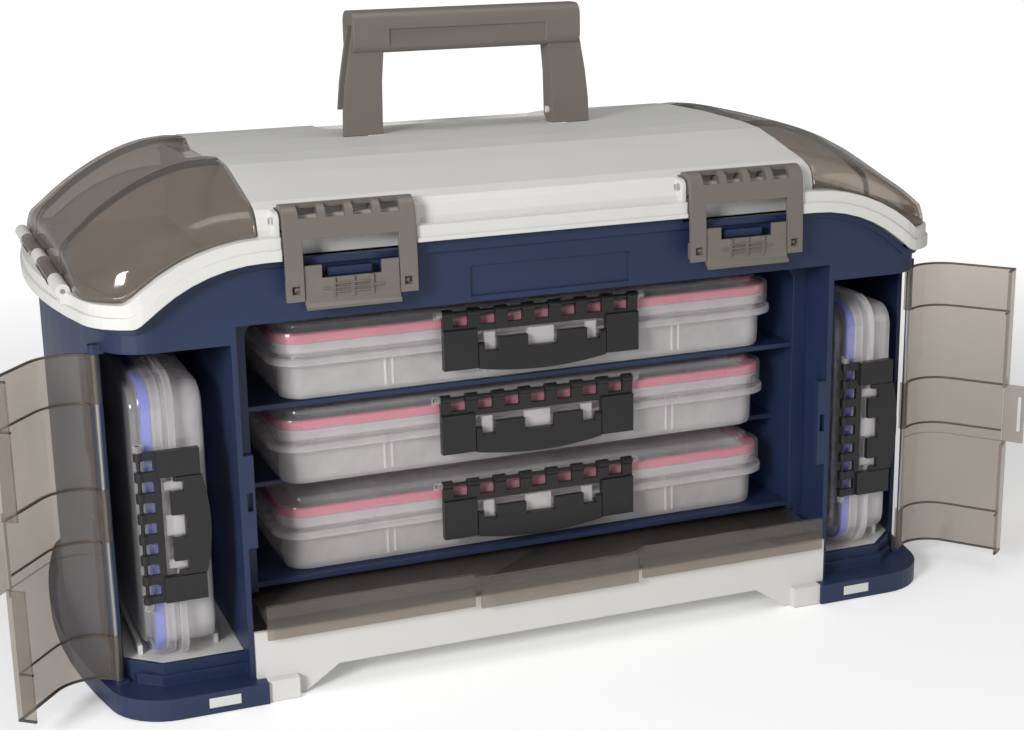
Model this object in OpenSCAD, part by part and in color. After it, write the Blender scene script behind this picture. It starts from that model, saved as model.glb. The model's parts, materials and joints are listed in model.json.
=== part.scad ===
// Fishing tackle cabinet, millimetres. Front is -Y, ground is z = 0, x = 0 is the middle.
// Doors are drawn open, the front door is drawn pushed into its slot, the handle stands up.

/* [Cabinet] */
// Half width of the lid rim at the bulge of the ends
rim_half_x = 307; // [300:0.5:315]
// Half depth of the lid rim
rim_half_y = 165; // [160:0.5:170]
// Radius of the bowed ends, seen from above
end_radius = 560; // [450:5:900]
// Radius of the upright corners at the rim
corner_radius = 38; // [30:1:45]
// Distance from the rim face to the case wall
shell_inset = 10; // [8:0.5:12]
// Wall thickness of the case
wall = 3; // [2:0.1:4]
// Height of the lip between case and lid over the boxes
lip_z = 279.5; // [275:0.5:285]
// Height of the same lip round the ends
flat_z = 246.8; // [240:0.2:252]
// Height of the bin floor under the lid
bin_z = 241; // [240:0.5:243]
// Height of the open bottom of the base
base_z = 14; // [12:0.5:16]
// Half width between the bay walls
bay_wall_x = 203.5; // [202:0.5:206]
// Thickness of the bay walls
bay_wall = 3.5; // [3:0.1:4]
// Top of the floors of the bays
deck_z = 27; // [26.5:0.1:28]
// Top of the bay openings
bay_z1 = 230; // [226:0.5:234]

/* [Lid] */
// Height of the top of the lid
lid_top = 329; // [326:0.5:332]
// Half length of the crown between the end covers
crown_x = 187.5; // [185:0.5:190]
// Height of the rim band of the lid
rim_h = 14.5; // [13:0.1:16]
// Gap between the lid and the case
lid_gap = 0.4; // [0.3:0.1:0.8]
// Lid hinge axis, distance behind the rim
lid_hinge_out = 1.5; // [1:0.1:3]
// Lid hinge axis height
lid_hinge_z = 283; // [282:0.5:285]
// Bottom of the end wells
well_z = 255; // [252:0.5:257]

/* [Covers] */
// Cover hinge axis, distance from the middle
cover_pin_x = 296.5; // [295:0.1:297.5]
// Cover hinge axis height
cover_pin_z = 262; // [261:0.1:263]
// Thickness of the smoke covers
cover_wall = 2; // [1.6:0.1:2.4]

/* [Handle] */
// Handle hinge axis height
handle_pin_z = 338; // [337:0.5:340]
// Height of the top of the grip
grip_top = 412.5; // [408:0.5:416]
// Half length of the grip
grip_x = 82.5; // [80:0.5:85]
// Depth of the grip
grip_d = 26; // [24:0.5:28]

/* [Latches] */
// Middle of each lid latch
latch_x = 133.4; // [130:0.1:136]
// Width of each lid latch
latch_w = 82; // [80:0.5:83]
// Latch rod position, distance inside the rim
latch_pin_in = 9; // [8:0.1:10]
// Latch rod height
latch_pin_z = 303; // [302:0.1:304]
// Lever pin height
lever_pin_z = 262; // [260:0.1:264]

/* [Side doors] */
// Door hinge axis, distance from the middle
door_pin_x = 284.5; // [284:0.1:285]
// Door hinge axis, distance inside the rim
door_pin_in = 37; // [36:0.1:38]
// Turn of the open doors
door_open = 128; // [115:1:130]
// Bottom of the doors
door_z0 = 16; // [15.5:0.1:17]
// Top of the doors
door_z1 = 227; // [225:0.5:229]
// Front face of the closed doors, distance inside the rim
door_face_in = 7; // [6:0.1:8]
// Free edge of the closed doors
door_edge_x = 217; // [215:0.5:219]
// Thickness of the doors
door_wall = 2; // [1.6:0.1:2.4]

/* [Front door] */
// Half width of the front door
fdoor_x = 197; // [195:0.5:197]
// Underside of the front door in its slot
fdoor_z = 52; // [52:0.1:53]
// Thickness of the front door
fdoor_wall = 3; // [2.5:0.1:3.5]
// Length of the front door
fdoor_len = 193; // [185:1:196]

/* [Boxes] */
// Length of the long boxes
box_len = 355; // [350:1:360]
// Depth of the long boxes
box_dep = 230; // [225:1:235]
// Height of the long boxes
box_h = 50; // [48:0.5:51]
// Bottom of the lowest long box
box_z = 65; // [65:0.1:66]
// Step from box to box
box_pitch = 58.4; // [58:0.1:59]
// Front of the two lower boxes, before the middle
box_y = 126; // [120:1:130]
// Front of the top box, before the middle
top_box_y = 134; // [126:1:136]
// Height of the small boxes when they stand on edge
side_len = 184; // [180:1:186]
// Depth of the small boxes
side_dep = 279; // [270:1:282]
// Thickness of the small boxes
side_h = 44.5; // [42:0.5:45]
// Near face of the small boxes
side_x = 222.5; // [222:0.5:223]
// Front of the small boxes, before the middle
side_y = 143; // [140:0.5:144]

/* [Hidden] */
$fn = 48;
run_fit = 0.05;
lid_hinge_y = rim_half_y + lid_hinge_out;
latch_pin_y = rim_half_y - latch_pin_in;
door_pin_y = rim_half_y - door_pin_in;
door_face_y = rim_half_y - door_face_in;
crown_y = rim_half_y - 9;
slide_gap = 0.1;

// plan outline of the cabinet
end_cx = rim_half_x - end_radius;
corner_cy = rim_half_y - corner_radius;
corner_cx = end_cx + sqrt(pow(end_radius - corner_radius, 2) - pow(corner_cy, 2));
tang_a = asin(corner_cy / (end_radius - corner_radius));
end_seg = 5;
corner_seg = 8;
function quad(d) = concat(
  [for (i = [0:end_seg]) let (a = tang_a * i / end_seg)
    [end_cx + (end_radius + d) * cos(a), (end_radius + d) * sin(a)]],
  [for (i = [1:corner_seg]) let (a = tang_a + (90 - tang_a) * i / corner_seg)
    [corner_cx + (corner_radius + d) * cos(a), corner_cy + (corner_radius + d) * sin(a)]]);
function outline(d) = let (q = quad(d), n = len(q)) concat(
  q,
  [for (i = [n - 1:-1:0]) [-q[i][0], q[i][1]]],
  [for (i = [1:n - 1]) [-q[i][0], -q[i][1]]],
  [for (i = [n - 1:-1:1]) [q[i][0], -q[i][1]]]);

// lip line between lid and case, seen from the front: level, arc, slope, arc, level
arc_x = 185;
arc_r = 105;
slope = 38;
foot_r = 9;
far_x = 330;
function arc_end(t) = [arc_x + (arc_r + t) * sin(slope), lip_z - arc_r + (arc_r + t) * cos(slope)];
function foot_c(t) = let (e = arc_end(t), zs = flat_z + t + foot_r * (1 - cos(slope)))
  [e[0] + (e[1] - zs) / tan(slope) + foot_r * sin(slope), flat_z + t + foot_r];
function lip_right(t) = let (c = foot_c(t)) concat(
  [for (i = [0:6]) let (a = slope * i / 6)
    [arc_x + (arc_r + t) * sin(a), lip_z - arc_r + (arc_r + t) * cos(a)]],
  [for (i = [0:3]) let (a = slope * (1 - i / 3)) [c[0] - foot_r * sin(a), c[1] - foot_r * cos(a)]],
  [[far_x, flat_z + t]]);
function mirrored(p) = [for (i = [len(p) - 1:-1:0]) [-p[i][0], p[i][1]]];
function reversed(p) = [for (i = [len(p) - 1:-1:0]) p[i]];
function lip_full(t) = concat(mirrored(lip_right(t)), lip_right(t));
function lip_at(x, t) = x < arc_x ? lip_z + t : lookup(x, lip_right(t));

// height of the top: along x over the covers, and its fall at a distance inside the front and
// back edges of the crown
dome_x = [[187.5, 328.5], [198, 329], [217.5, 326.6], [242, 317.5], [267, 302.6],
  [279, 292.8], [288, 285], [291.8, 275.7], [292.6, 265]];
fall_in = [[101, 0.8], [74, 2.5], [53, 7], [31, 12.5], [14, 16.5], [6, 20], [2, 24], [0, 31]];
fall_y = concat([[0, 0]], [for (f = fall_in) [crown_y - f[0], f[1]]]);
function dome_z(x, y) = lookup(x, dome_x) - lookup(abs(y), fall_y);

function arc_pts(cu, cv, r, a0, a1, n) =
  [for (i = [0:n]) let (a = a0 + (a1 - a0) * i / n) [cu + r * cos(a), cv + r * sin(a)]];

// 2D drawn in (y, z) and drawn out along x
module along_x(x0, x1) {
  translate([x0, 0, 0]) rotate([90, 0, 90]) linear_extrude(x1 - x0) children();
}
// 2D drawn in (x, z) and drawn out along y
module along_y(y0, y1) {
  translate([0, y1, 0]) rotate([90, 0, 0]) linear_extrude(y1 - y0) children();
}
module along_z(z0, z1) {
  translate([0, 0, z0]) linear_extrude(z1 - z0) children();
}
module block(x0, x1, y0, y1, z0, z1) {
  translate([x0, y0, z0]) cube([x1 - x0, y1 - y0, z1 - z0]);
}
module rod_x(x0, x1, y, z, r) {
  translate([x0, y, z]) rotate([0, 90, 0]) cylinder(r = r, h = x1 - x0);
}
module rod_y(y0, y1, x, z, r) {
  translate([x, y1, z]) rotate([90, 0, 0]) cylinder(r = r, h = y1 - y0);
}
module rod_z(z0, z1, x, y, r) {
  translate([x, y, z0]) cylinder(r = r, h = z1 - z0);
}
module ring2d(d_out, d_in) {
  difference() {
    polygon(outline(d_out));
    polygon(outline(d_in));
  }
}
module lip_band(t0, t1) {
  along_y(-200, 200) polygon(concat(lip_full(t0), reversed(lip_full(t1))));
}
module below_lip(t) {
  along_y(-200, 200) polygon(concat(lip_full(t), [[far_x, -5], [-far_x, -5]]));
}
module both_x() {
  children();
  mirror([1, 0, 0]) children();
}
function rr_pts(w, d, r) = concat(
  arc_pts(w / 2 - r, d / 2 - r, r, 0, 90, 5), arc_pts(-w / 2 + r, d / 2 - r, r, 90, 180, 5),
  arc_pts(-w / 2 + r, -d / 2 + r, r, 180, 270, 5), arc_pts(w / 2 - r, -d / 2 + r, r, 270, 360, 5));

// ---------------------------------------------------------------- case
shell_out = -shell_inset;
shell_in = -shell_inset - wall;
flange_out = -shell_inset + 3;
flange_h = 4;
front_y = rim_half_y - shell_inset;
inner_y = front_y - wall;
foot_x = 198;
foot_out = 1;
hinge_r = 6.5;
hinge_pin_r = 2;
hinge_w = 15;
hinge_at = [-150, 0, 150];
door_pin_r = 1.5;
center_x = latch_x - latch_w / 2 - 1;
lip_step = 4.1;
post_y = rim_half_y - 43;
door_lug_r = 3.2;
apron_x = 54.4;
sill_y = rim_half_y - 27;
sill_x = 258;

module shell_wall() {
  intersection() {
    along_z(base_z, 300) ring2d(shell_out, shell_in);
    below_lip(0);
  }
  intersection() {
    along_z(200, 300) ring2d(flange_out, shell_in);
    lip_band(-flange_h, 0);
  }
  block(-center_x, center_x, -rim_half_y - flange_out, -inner_y, lip_z - 1, lip_z + lip_step);
}
module bay_cut() {
  difference() {
    block(bay_wall_x + bay_wall, rim_half_x, -rim_half_y, -post_y, base_z, bay_z1);
    along_z(base_z - 1, bay_z1 + 1) polygon(outline(shell_in));
  }
}
// the ground in front of the bay floors, cut off at the corner
module bay_front2d(y, x) {
  polygon([[bay_wall_x, y], [x, y], [x + 23, y + 20], [x + 120, y + 20], [x + 120, -200],
    [bay_wall_x, -200]]);
}
module sill() {
  along_z(base_z - 0.5, deck_z - slide_gap) difference() {
    bay_front2d(-sill_y, sill_x);
    bay_front2d(-sill_y - wall, sill_x + 0.5);
    translate([sill_x + 23.5, -200]) square([200, 200]);
  }
  along_z(base_z - 0.5, (base_z + deck_z) / 2) polygon([[bay_wall_x, -sill_y - 6],
    [sill_x + 2, -sill_y - 6], [sill_x + 17, -sill_y + 6], [sill_x + 5, -sill_y],
    [bay_wall_x, -sill_y - 1]]);
  block(bay_wall_x, bay_wall_x + bay_wall, -front_y, -sill_y, base_z - 0.5, base_z + wall + 1);
}
module foot_rail() {
  intersection() {
    union() {
      along_z(0, base_z) ring2d(foot_out, foot_out - wall);
      along_z(base_z - wall, base_z) polygon(outline(foot_out - 1));
      block(foot_x, foot_x + wall, -rim_half_y, rim_half_y, 0, base_z);
    }
    block(foot_x, far_x, -rim_half_y - 5, rim_half_y + 5, -1, base_z);
  }
}
module door_lugs() {
  for (z = [door_z0 - 6, door_z1 + 0.3]) {
    rod_z(z, z + 5.7, door_pin_x, -door_pin_y, door_lug_r);
    block(door_pin_x - 6, door_pin_x, -door_pin_y - door_lug_r, -door_pin_y + door_lug_r, z, z + 5.7);
  }
}
module lid_knuckle(x, w) {
  rod_x(x - w, x + w, lid_hinge_y, lid_hinge_z, hinge_r);
}
module case_shell() {
  difference() {
    union() {
      difference() {
        shell_wall();
        block(-bay_wall_x, bay_wall_x, -rim_half_y, -inner_y + 1, base_z - 1, bin_z);
        both_x() bay_cut();
        block(-apron_x, apron_x, -front_y - 1, -front_y + 1.4, 244.8, 264.1);
      }
      both_x() {
        block(bay_wall_x, bay_wall_x + bay_wall, -front_y, inner_y, base_z + wall, bin_z);
        block(foot_x - 0.5, bay_wall_x, -front_y, -front_y + 6, 100, 160);
        foot_rail();
        sill();
        door_lugs();
        block(latch_x - 14, latch_x + 14, -front_y - 6, -front_y, 268, 273);
      }
      for (x = hinge_at) {
        lid_knuckle(x, hinge_w);
        along_x(x - hinge_w, x + hinge_w) polygon([[front_y - 1, 262], [front_y + 3, 262],
          [lid_hinge_y + hinge_r - 1, lid_hinge_z - 2], [lid_hinge_y - 4, lid_hinge_z],
          [front_y - 1, lip_z]]);
      }
    }
    rod_x(-180, 180, lid_hinge_y, lid_hinge_z, hinge_pin_r);
    both_x() rod_z(base_z - 6, 240, door_pin_x, -door_pin_y, door_pin_r);
    both_x() block(foot_x + 1, bay_wall_x - 1, -front_y - 1, -front_y + 4, 124, 136);
  }
}
module lid_hinge_pin() {
  rod_x(-180, 180, lid_hinge_y, lid_hinge_z, hinge_pin_r);
}
module door_pin(s) {
  rod_z(door_z0 - 6, door_z1 + 6, s * door_pin_x, -door_pin_y, door_pin_r);
}

// ---------------------------------------------------------------- rack and floors
frame_in = 192.5;
frame_r = 10;
frame_z = 236;
frame_lintel = 150;
rail_z = fdoor_z - slide_gap;
slot_top = fdoor_z + fdoor_wall + 4;
frame_y = rim_half_y - 39;
rack_back = inner_y - 2;
rack_top = box_z - slide_gap;
rail_in = 162;
module rack_side() {
  along_y(-frame_y, rack_back) polygon([[190, rail_z - 3], [bay_wall_x, rail_z - 3],
    [bay_wall_x, slot_top + 3], [frame_in + 2.5, slot_top + 3], [frame_in + 2.5, bin_z],
    [frame_in, bin_z], [frame_in, slot_top], [fdoor_x + 0.5, slot_top],
    [fdoor_x + 0.5, rail_z], [190, rail_z]]);
}
module rack_frame() {
  both_x() rack_side();
  both_x() block(frame_in, bay_wall_x, -frame_y, -frame_y + 4, slot_top, bin_z);
  difference() {
    block(-frame_in - 1, frame_in + 1, -frame_y, -frame_y + 4, frame_lintel, bin_z);
    along_y(-frame_y - 1, -frame_y + 5)
      polygon(concat([[frame_in, frame_lintel - 1]],
        arc_pts(frame_in - frame_r, frame_z - frame_r, frame_r, 0, 90, 5),
        arc_pts(-frame_in + frame_r, frame_z - frame_r, frame_r, 90, 180, 5),
        [[-frame_in, frame_lintel - 1]]));
  }
}
module rack_floor() {
  block(-frame_in, frame_in, -frame_y + 1, rack_back, rack_top - 3.4, rack_top);
}
module rack_shelf() {
  block(-frame_in, frame_in, -frame_y + 1, rack_back, box_z + 2 * box_pitch - 3.4,
    box_z + 2 * box_pitch - slide_gap);
}
module rack_rails() {
  rail_top = box_z + box_pitch - slide_gap;
  both_x() block(rail_in, frame_in, -100, rack_back, rail_top - 3.4, rail_top);
  block(-frame_in, frame_in, rack_back - 10, rack_back, rail_top - 3.4, rail_top);
}
module bin_floor() {
  along_z(bin_z, bin_z + 3) polygon(outline(shell_in));
}
module base_tray() {
  tray_in = shell_in;
  along_y(-front_y - 3, -front_y) polygon([[-bay_wall_x, 45], [-bay_wall_x, base_z],
    [-foot_x, base_z], [-foot_x, 0], [-173, 0], [-150, 15.5], [150, 15.5], [173, 0],
    [foot_x, 0], [foot_x, base_z], [bay_wall_x, base_z], [bay_wall_x, 45]]);
  block(-bay_wall_x, bay_wall_x, -front_y, -inner_y + 1, base_z, base_z + wall);
  both_x() block(177.6, foot_x, -rim_half_y + 1, -front_y + 6, 0, base_z);
  difference() {
    along_z(base_z, base_z + wall) polygon(outline(tray_in));
    both_x() along_z(base_z - 1, base_z + wall + 1) bay_front2d(-sill_y, sill_x);
  }
  both_x() intersection() {
    union() {
      block(bay_wall_x + bay_wall, far_x, -inner_y, inner_y, deck_z - wall - slide_gap,
        deck_z - slide_gap);
      for (y = [-120, 0, 120])
        block(bay_wall_x + bay_wall, far_x, y - 2, y + 2, base_z + wall, deck_z - wall);
      block(bay_wall_x + bay_wall, sill_x, -sill_y, -sill_y + 2, base_z + wall, deck_z - wall);
      block(side_x - 3.3, side_x - 0.3, -120, 138, deck_z - wall, deck_z + 6);
      block(side_x + side_h + 0.3, side_x + side_h + 3.3, -120, 138, deck_z - wall, deck_z + 6);
    }
    along_z(base_z, 60) difference() {
      polygon(outline(tray_in));
      bay_front2d(-sill_y, sill_x);
    }
  }
}

// ---------------------------------------------------------------- lid
well_out = -15.5;
well_in = -18;
cover_pin_r = 1.5;
barrel_r = 4.6;
knuckle_spans = [[-108, -72.2], [-13.8, 13.8], [72.2, 108]];
barrel_spans = [[-72, -14], [14, 72]];
lug_x = 69.5;
handle_pin_r = 2.5;
latch_pin_r = 2.5;
hood_r = 9.5;
crown_wall = 3;
recess_x = 94;

function crown_top() = concat([for (i = [len(fall_y) - 1:-1:0]) [-fall_y[i][0], lid_top - fall_y[i][1]]],
  [for (i = [1:len(fall_y) - 1]) [fall_y[i][0], lid_top - fall_y[i][1]]]);
function crown_inner() = [for (p = crown_top()) [p[0] * (1 - crown_wall / crown_y),
  p[1] - crown_wall * (abs(p[0]) > crown_y - 11 ? 0.6 : 1)]];
module crown_outer2d() {
  polygon(concat(crown_top(), [[crown_y, 291], [-crown_y, 291]]));
}
module crown_inner2d() {
  polygon(concat(crown_inner(), [[crown_y - 3, 240], [-crown_y + 3, 240]]));
}
module rim() {
  difference() {
    intersection() {
      along_z(240, 300) ring2d(0, well_in);
      lip_band(lid_gap, rim_h);
    }
    intersection() {
      along_z(230, 300) ring2d(-wall, well_out);
      lip_band(-3, rim_h - wall);
    }
    intersection() {
      along_z(240, 310) ring2d(2, -1.5);
      lip_band(rim_h / 2, rim_h + 3);
    }
  }
}
module wells() {
  both_x() {
    intersection() {
      along_z(well_z, 300) ring2d(well_out, well_in);
      block(crown_x - wall, far_x, -200, 200, 240, 310);
      below_lip(rim_h);
    }
    intersection() {
      along_z(well_z, well_z + wall) polygon(outline(well_out));
      block(crown_x - wall, far_x, -200, 200, 240, 310);
    }
    along_x(crown_x - wall, crown_x) polygon(concat(crown_top(),
      [[crown_y - 7, 291], [crown_y - 7, well_z], [-crown_y + 7, well_z], [-crown_y + 7, 291]]));
  }
}
module cover_knuckles() {
  for (s = knuckle_spans) {
    rod_y(s[0], s[1], cover_pin_x, cover_pin_z, barrel_r);
    block(cover_pin_x - 9, cover_pin_x + 2, s[0], s[1], cover_pin_z - 8, flat_z + rim_h - 0.2);
  }
}
module latch_cheeks() {
  for (s = [-1, 1]) {
    x0 = latch_x + s * (latch_w / 2 + 2.5) - 1.5;
    rod_x(x0, x0 + 3, -latch_pin_y, latch_pin_z, 5.5);
    along_x(x0, x0 + 3) polygon([[-latch_pin_y - 5.5, latch_pin_z], [-latch_pin_y - 5.5, 285],
      [-latch_pin_y + 10, 285], [-latch_pin_y + 10, 309], [-latch_pin_y, latch_pin_z + 5.5]]);
  }
}
pad_z = lid_top - 1.5;
pad_x = 9;
pad_y = 9;
module handle_mounts() {
  both_x() {
    block(lug_x - pad_x, lug_x + 4, -pad_y, pad_y, pad_z, lid_top + 0.2);
    block(lug_x - 2.5, lug_x + 2.5, -4, 4, pad_z, handle_pin_z);
    rod_x(lug_x - 2.5, lug_x + 2.5, 0, handle_pin_z, 5);
    rod_x(61, lug_x, 0, handle_pin_z, handle_pin_r);
  }
}
module lid() {
  difference() {
    union() {
      difference() {
        union() {
          difference() {
            along_x(-crown_x, crown_x) crown_outer2d();
            along_x(-crown_x + wall, crown_x - wall) crown_inner2d();
          }
          rim();
          wells();
          along_x(-recess_x - 3, recess_x + 3) polygon([[36, lid_top - 11], [98, lid_top - 11],
            [98, lid_top - 6], [36, lid_top - 2]]);
        }
        along_y(40, 95) polygon([[-recess_x, lid_top + 1], [-recess_x + 13, lid_top - 8],
          [recess_x - 13, lid_top - 8], [recess_x, lid_top + 1]]);
        both_x() {
          block(latch_x - latch_w / 2 - 1, latch_x + latch_w / 2 + 1, -rim_half_y - 3, -latch_pin_y + 8, 240,
            latch_pin_z);
          rod_x(latch_x - latch_w / 2 - 1, latch_x + latch_w / 2 + 1, -latch_pin_y, latch_pin_z,
            hood_r + 0.6);
        }
        block(-center_x, center_x, -rim_half_y - 3, -rim_half_y - well_in - 3, 270,
          lip_z + lip_step + lid_gap);
        for (x = hinge_at) {
          block(x - hinge_w - 0.5, x + hinge_w + 0.5, lid_hinge_y - 8, 200, 262, lid_hinge_z + 8.5);
        }
      }
      both_x() {
        block(latch_x - latch_w / 2 - 1, latch_x + latch_w / 2 + 1, -latch_pin_y + 9.8, -latch_pin_y + 12,
          lip_z + lid_gap,
          latch_pin_z + 8);
        latch_cheeks();
        cover_knuckles();
      }
      for (x = hinge_at) {
        for (s = [-1, 1]) {
          lid_knuckle(x + s * (hinge_w + 8.5), 8);
          block(x + s * (hinge_w + 8.5) - 8, x + s * (hinge_w + 8.5) + 8, lid_hinge_y - 6, lid_hinge_y,
            lid_hinge_z - 2.5, lid_hinge_z + hinge_r);
        }
      }
    }
    rod_x(-190, 190, lid_hinge_y, lid_hinge_z, hinge_pin_r + run_fit);
    both_x() {
      block(lug_x - pad_x, lug_x + 4, -pad_y, pad_y, pad_z, lid_top + 1);
      rod_x(latch_x - latch_w / 2 - 6, latch_x + latch_w / 2 + 6, -latch_pin_y, latch_pin_z,
        latch_pin_r);
      rod_y(-120, 120, cover_pin_x, cover_pin_z, cover_pin_r);
      for (s = barrel_spans) {
        rod_y(s[0] - 0.2, s[1] + 0.2, cover_pin_x, cover_pin_z, barrel_r + 0.5);
        block(cover_pin_x - 9, cover_pin_x, s[0] - 0.2, s[1] + 0.2, cover_pin_z - 3, 275);
      }
    }
  }
}
module cover_pin(s) {
  rod_y(-108, 108, s * cover_pin_x, cover_pin_z, cover_pin_r);
}
module latch_rod(s) {
  rod_x(s * latch_x - latch_w / 2 - 4, s * latch_x + latch_w / 2 + 4, -latch_pin_y, latch_pin_z,
    latch_pin_r);
}

// ---------------------------------------------------------------- handle
leg_front = 8.25;
leg_foot = lid_top + 0.3;
module leg() {
  difference() {
    intersection() {
      along_y(-leg_front, leg_front) polygon([[62.8, leg_foot], [90.7, leg_foot], [90.2, 345],
        [88, 365], [84.5, 385], [81, 403], [57, 403], [60.5, 385], [62.2, 365]]);
      union() {
        along_x(50, 100) polygon([[-leg_front, leg_foot], [0, leg_foot], [0, handle_pin_z],
          [leg_front, handle_pin_z], [leg_front, 404], [-leg_front, 404]]);
        rod_x(50, 100, 0, handle_pin_z, 8.6);
      }
    }
    along_y(-leg_front + 2.75, leg_front - 2.75) polygon([[66, 320], [100, 320], [100, 405],
      [61, 405], [61, 403], [64, 385], [66, 365]]);
    block(66, 100, 0, leg_front + 1, 320, handle_pin_z + 8);
    rod_x(50, 70, 0, handle_pin_z, handle_pin_r + run_fit);
  }
}
module handle_frame() {
  both_x() leg();
}
module handle_grip() {
  grip_z = grip_top - 14.25;
  difference() {
    along_x(-grip_x, grip_x) translate([0, grip_z]) polygon(rr_pts(grip_d, 28.5, 8));
    both_x() along_y(-leg_front, leg_front) polygon([[grip_x + 1, 380], [grip_x + 1, 403],
      [57, 403], [61.5, 380]]);
    for (s = [-1, 1])
      block(-57, 57, s * (grip_d / 2) - 1.2, s * (grip_d / 2) + 1.2, 386, 400);
  }
}

// ---------------------------------------------------------------- smoke covers
cover_in = crown_x + 0.6;
edge_r = 36;
cover_gap = 0.8;
function edge_ring(ex, ey, r) = concat(
  [for (i = [0:5]) [cover_in + (ex - r - cover_in) * i / 6, -ey]],
  arc_pts(ex - r, -ey + r, r, -90, 0, 6),
  [for (i = [1:5]) [ex, (ey - r) * (i / 3 - 1)]],
  arc_pts(ex - r, ey - r, r, 0, 90, 6),
  [for (i = [5:-1:0]) [cover_in + (ex - r - cover_in) * i / 6, ey]]);
steps = [0.3, 0.55, 0.72, 0.82, 0.9, 0.95, 0.98, 1];
cover_out = cover_pin_x - barrel_r - 0.3;
top_edge = edge_ring(cover_out - 1.2, crown_y - 2, edge_r);
low_edge = edge_ring(cover_out, crown_y + 1, edge_r + 2);
cols = len(top_edge);
rows = len(steps);
function cover_in_of(p, k, th) = let (l = norm([p[0] - cover_in, p[1]]))
  [cover_in + (p[0] - cover_in) * k * (1 - th / l), p[1] * k * (1 - th / l)];
function cover_layer(th) = concat([[cover_in, 0, dome_z(cover_in, 0) - th]],
  [for (i = [0:rows - 1]) for (p = top_edge)
    let (o = cover_in_of(p, steps[i], 0), q = cover_in_of(p, steps[i], th))
      [q[0], q[1], dome_z(o[0], o[1]) - th]],
  [for (p = low_edge) let (q = cover_in_of(p, 1, th)) [q[0], q[1], lip_at(q[0], rim_h) + cover_gap]]);
function at(i, j) = 1 + i * cols + j;
layer_n = 1 + (rows + 1) * cols;
function row_pt(i, j) = i < 0 ? 0 : at(i, j);
function cover_faces() = let (
  fan = [for (j = [0:cols - 2]) [0, at(0, j + 1), at(0, j)]],
  net = [for (i = [0:rows - 1]) for (j = [0:cols - 2]) for (k = [0, 1])
    k == 0 ? [at(i, j), at(i, j + 1), at(i + 1, j + 1)] : [at(i, j), at(i + 1, j + 1), at(i + 1, j)]],
  top = concat(fan, net)) concat(
  top,
  [for (f = top) reversed([for (v = f) v + layer_n])],
  [for (j = [0:cols - 2]) for (k = [0, 1])
    k == 0 ? [at(rows, j), at(rows, j + 1), at(rows, j + 1) + layer_n]
      : [at(rows, j), at(rows, j + 1) + layer_n, at(rows, j) + layer_n]],
  [for (i = [-1:rows - 1]) for (k = [0, 1])
    k == 0 ? [row_pt(i, 0), row_pt(i + 1, 0), row_pt(i + 1, 0) + layer_n]
      : [row_pt(i, 0), row_pt(i + 1, 0) + layer_n, row_pt(i, 0) + layer_n]],
  [for (i = [-1:rows - 1]) for (k = [0, 1])
    k == 0 ? [row_pt(i, cols - 1), row_pt(i, cols - 1) + layer_n, row_pt(i + 1, cols - 1) + layer_n]
      : [row_pt(i, cols - 1), row_pt(i + 1, cols - 1) + layer_n, row_pt(i + 1, cols - 1)]]);
module end_cover() {
  polyhedron(points = concat(cover_layer(0), cover_layer(cover_wall)), faces = cover_faces());
  for (s = barrel_spans) {
    difference() {
      union() {
        rod_y(s[0], s[1], cover_pin_x, cover_pin_z, barrel_r);
        block(cover_out - 1.5, cover_pin_x, s[0], s[1], cover_pin_z - 0.3, cover_pin_z + barrel_r);
      }
      rod_y(s[0] - 1, s[1] + 1, cover_pin_x, cover_pin_z, cover_pin_r + run_fit);
    }
  }
}

// ---------------------------------------------------------------- lid latches
plate_y = latch_pin_y + hood_r;
lever_y = rim_half_y - 0.2;
lever_pin_r = 1.3;
window_x = 30;
module latch_plate() {
  h = latch_w / 2;
  difference() {
    union() {
      along_x(-h, h)
        polygon(concat(arc_pts(-latch_pin_y, latch_pin_z, hood_r, 55, 180, 10),
          [[-plate_y - 1.8, 270], [-plate_y - 2, 255], [-plate_y + 0.7, 255],
          [-plate_y + 0.9, 270], [-plate_y + 3, latch_pin_z]],
          arc_pts(-latch_pin_y, latch_pin_z, hood_r - 3, 175, 55, 9)));
      for (x = [-h + 1.5, -17, 0, 17, h - 1.5])
        rod_x(x - 1.5, x + 1.5, -latch_pin_y, latch_pin_z, hood_r - 2.5);
      for (s = [-1, 1])
        block(s * 35.5 - 5, s * 35.5 + 5, -plate_y - 1.5, -161.5, 257, 267);
    }
    block(-window_x, window_x, -plate_y - 5, -160, 250, 292);
    for (x = [-25.5, -8.5, 8.5, 25.5])
      along_x(x - 6, x + 6) polygon(concat([[-latch_pin_y, latch_pin_z]],
        arc_pts(-latch_pin_y, latch_pin_z, hood_r + 2, 105, 170, 6)));
    rod_x(-h - 1, h + 1, -latch_pin_y, latch_pin_z, latch_pin_r + run_fit);
    for (s = [-1, 1])
      rod_x(s * 33.5 - 4, s * 33.5 + 4, -lever_y, lever_pin_z, lever_pin_r + run_fit);
    for (s = [-1, 1])
      block(s * 35 - 2.5, s * 35 + 2.5, -plate_y - 4, -lever_y, lever_pin_z - 2.5, lever_pin_z + 2.5);
  }
}
module latch_lever() {
  w = window_x - 0.4;
  along_x(-w, w) polygon([[-lever_y - 1.2, 268], [-lever_y + 0.9, 268], [-lever_y + 0.4, 254],
    [-lever_y - 1.4, 251.5], [-lever_y - 4.6, 249.6], [-lever_y - 5.2, 251.2],
    [-lever_y - 2.6, 253.5], [-lever_y - 1.8, 257]]);
  for (s = [-1, 1])
    block(s * (w - 5.5) - 5.5, s * (w - 5.5) + 5.5, -lever_y - 1.2, -lever_y + 0.9, 267, 276);
  for (x = [-12, 0, 12])
    block(x - 1.2, x + 1.2, -lever_y - 2.4, -lever_y, 256, 268);
  rod_x(-w - 6.4, w + 6.4, -lever_y, lever_pin_z, lever_pin_r);
}
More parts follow.
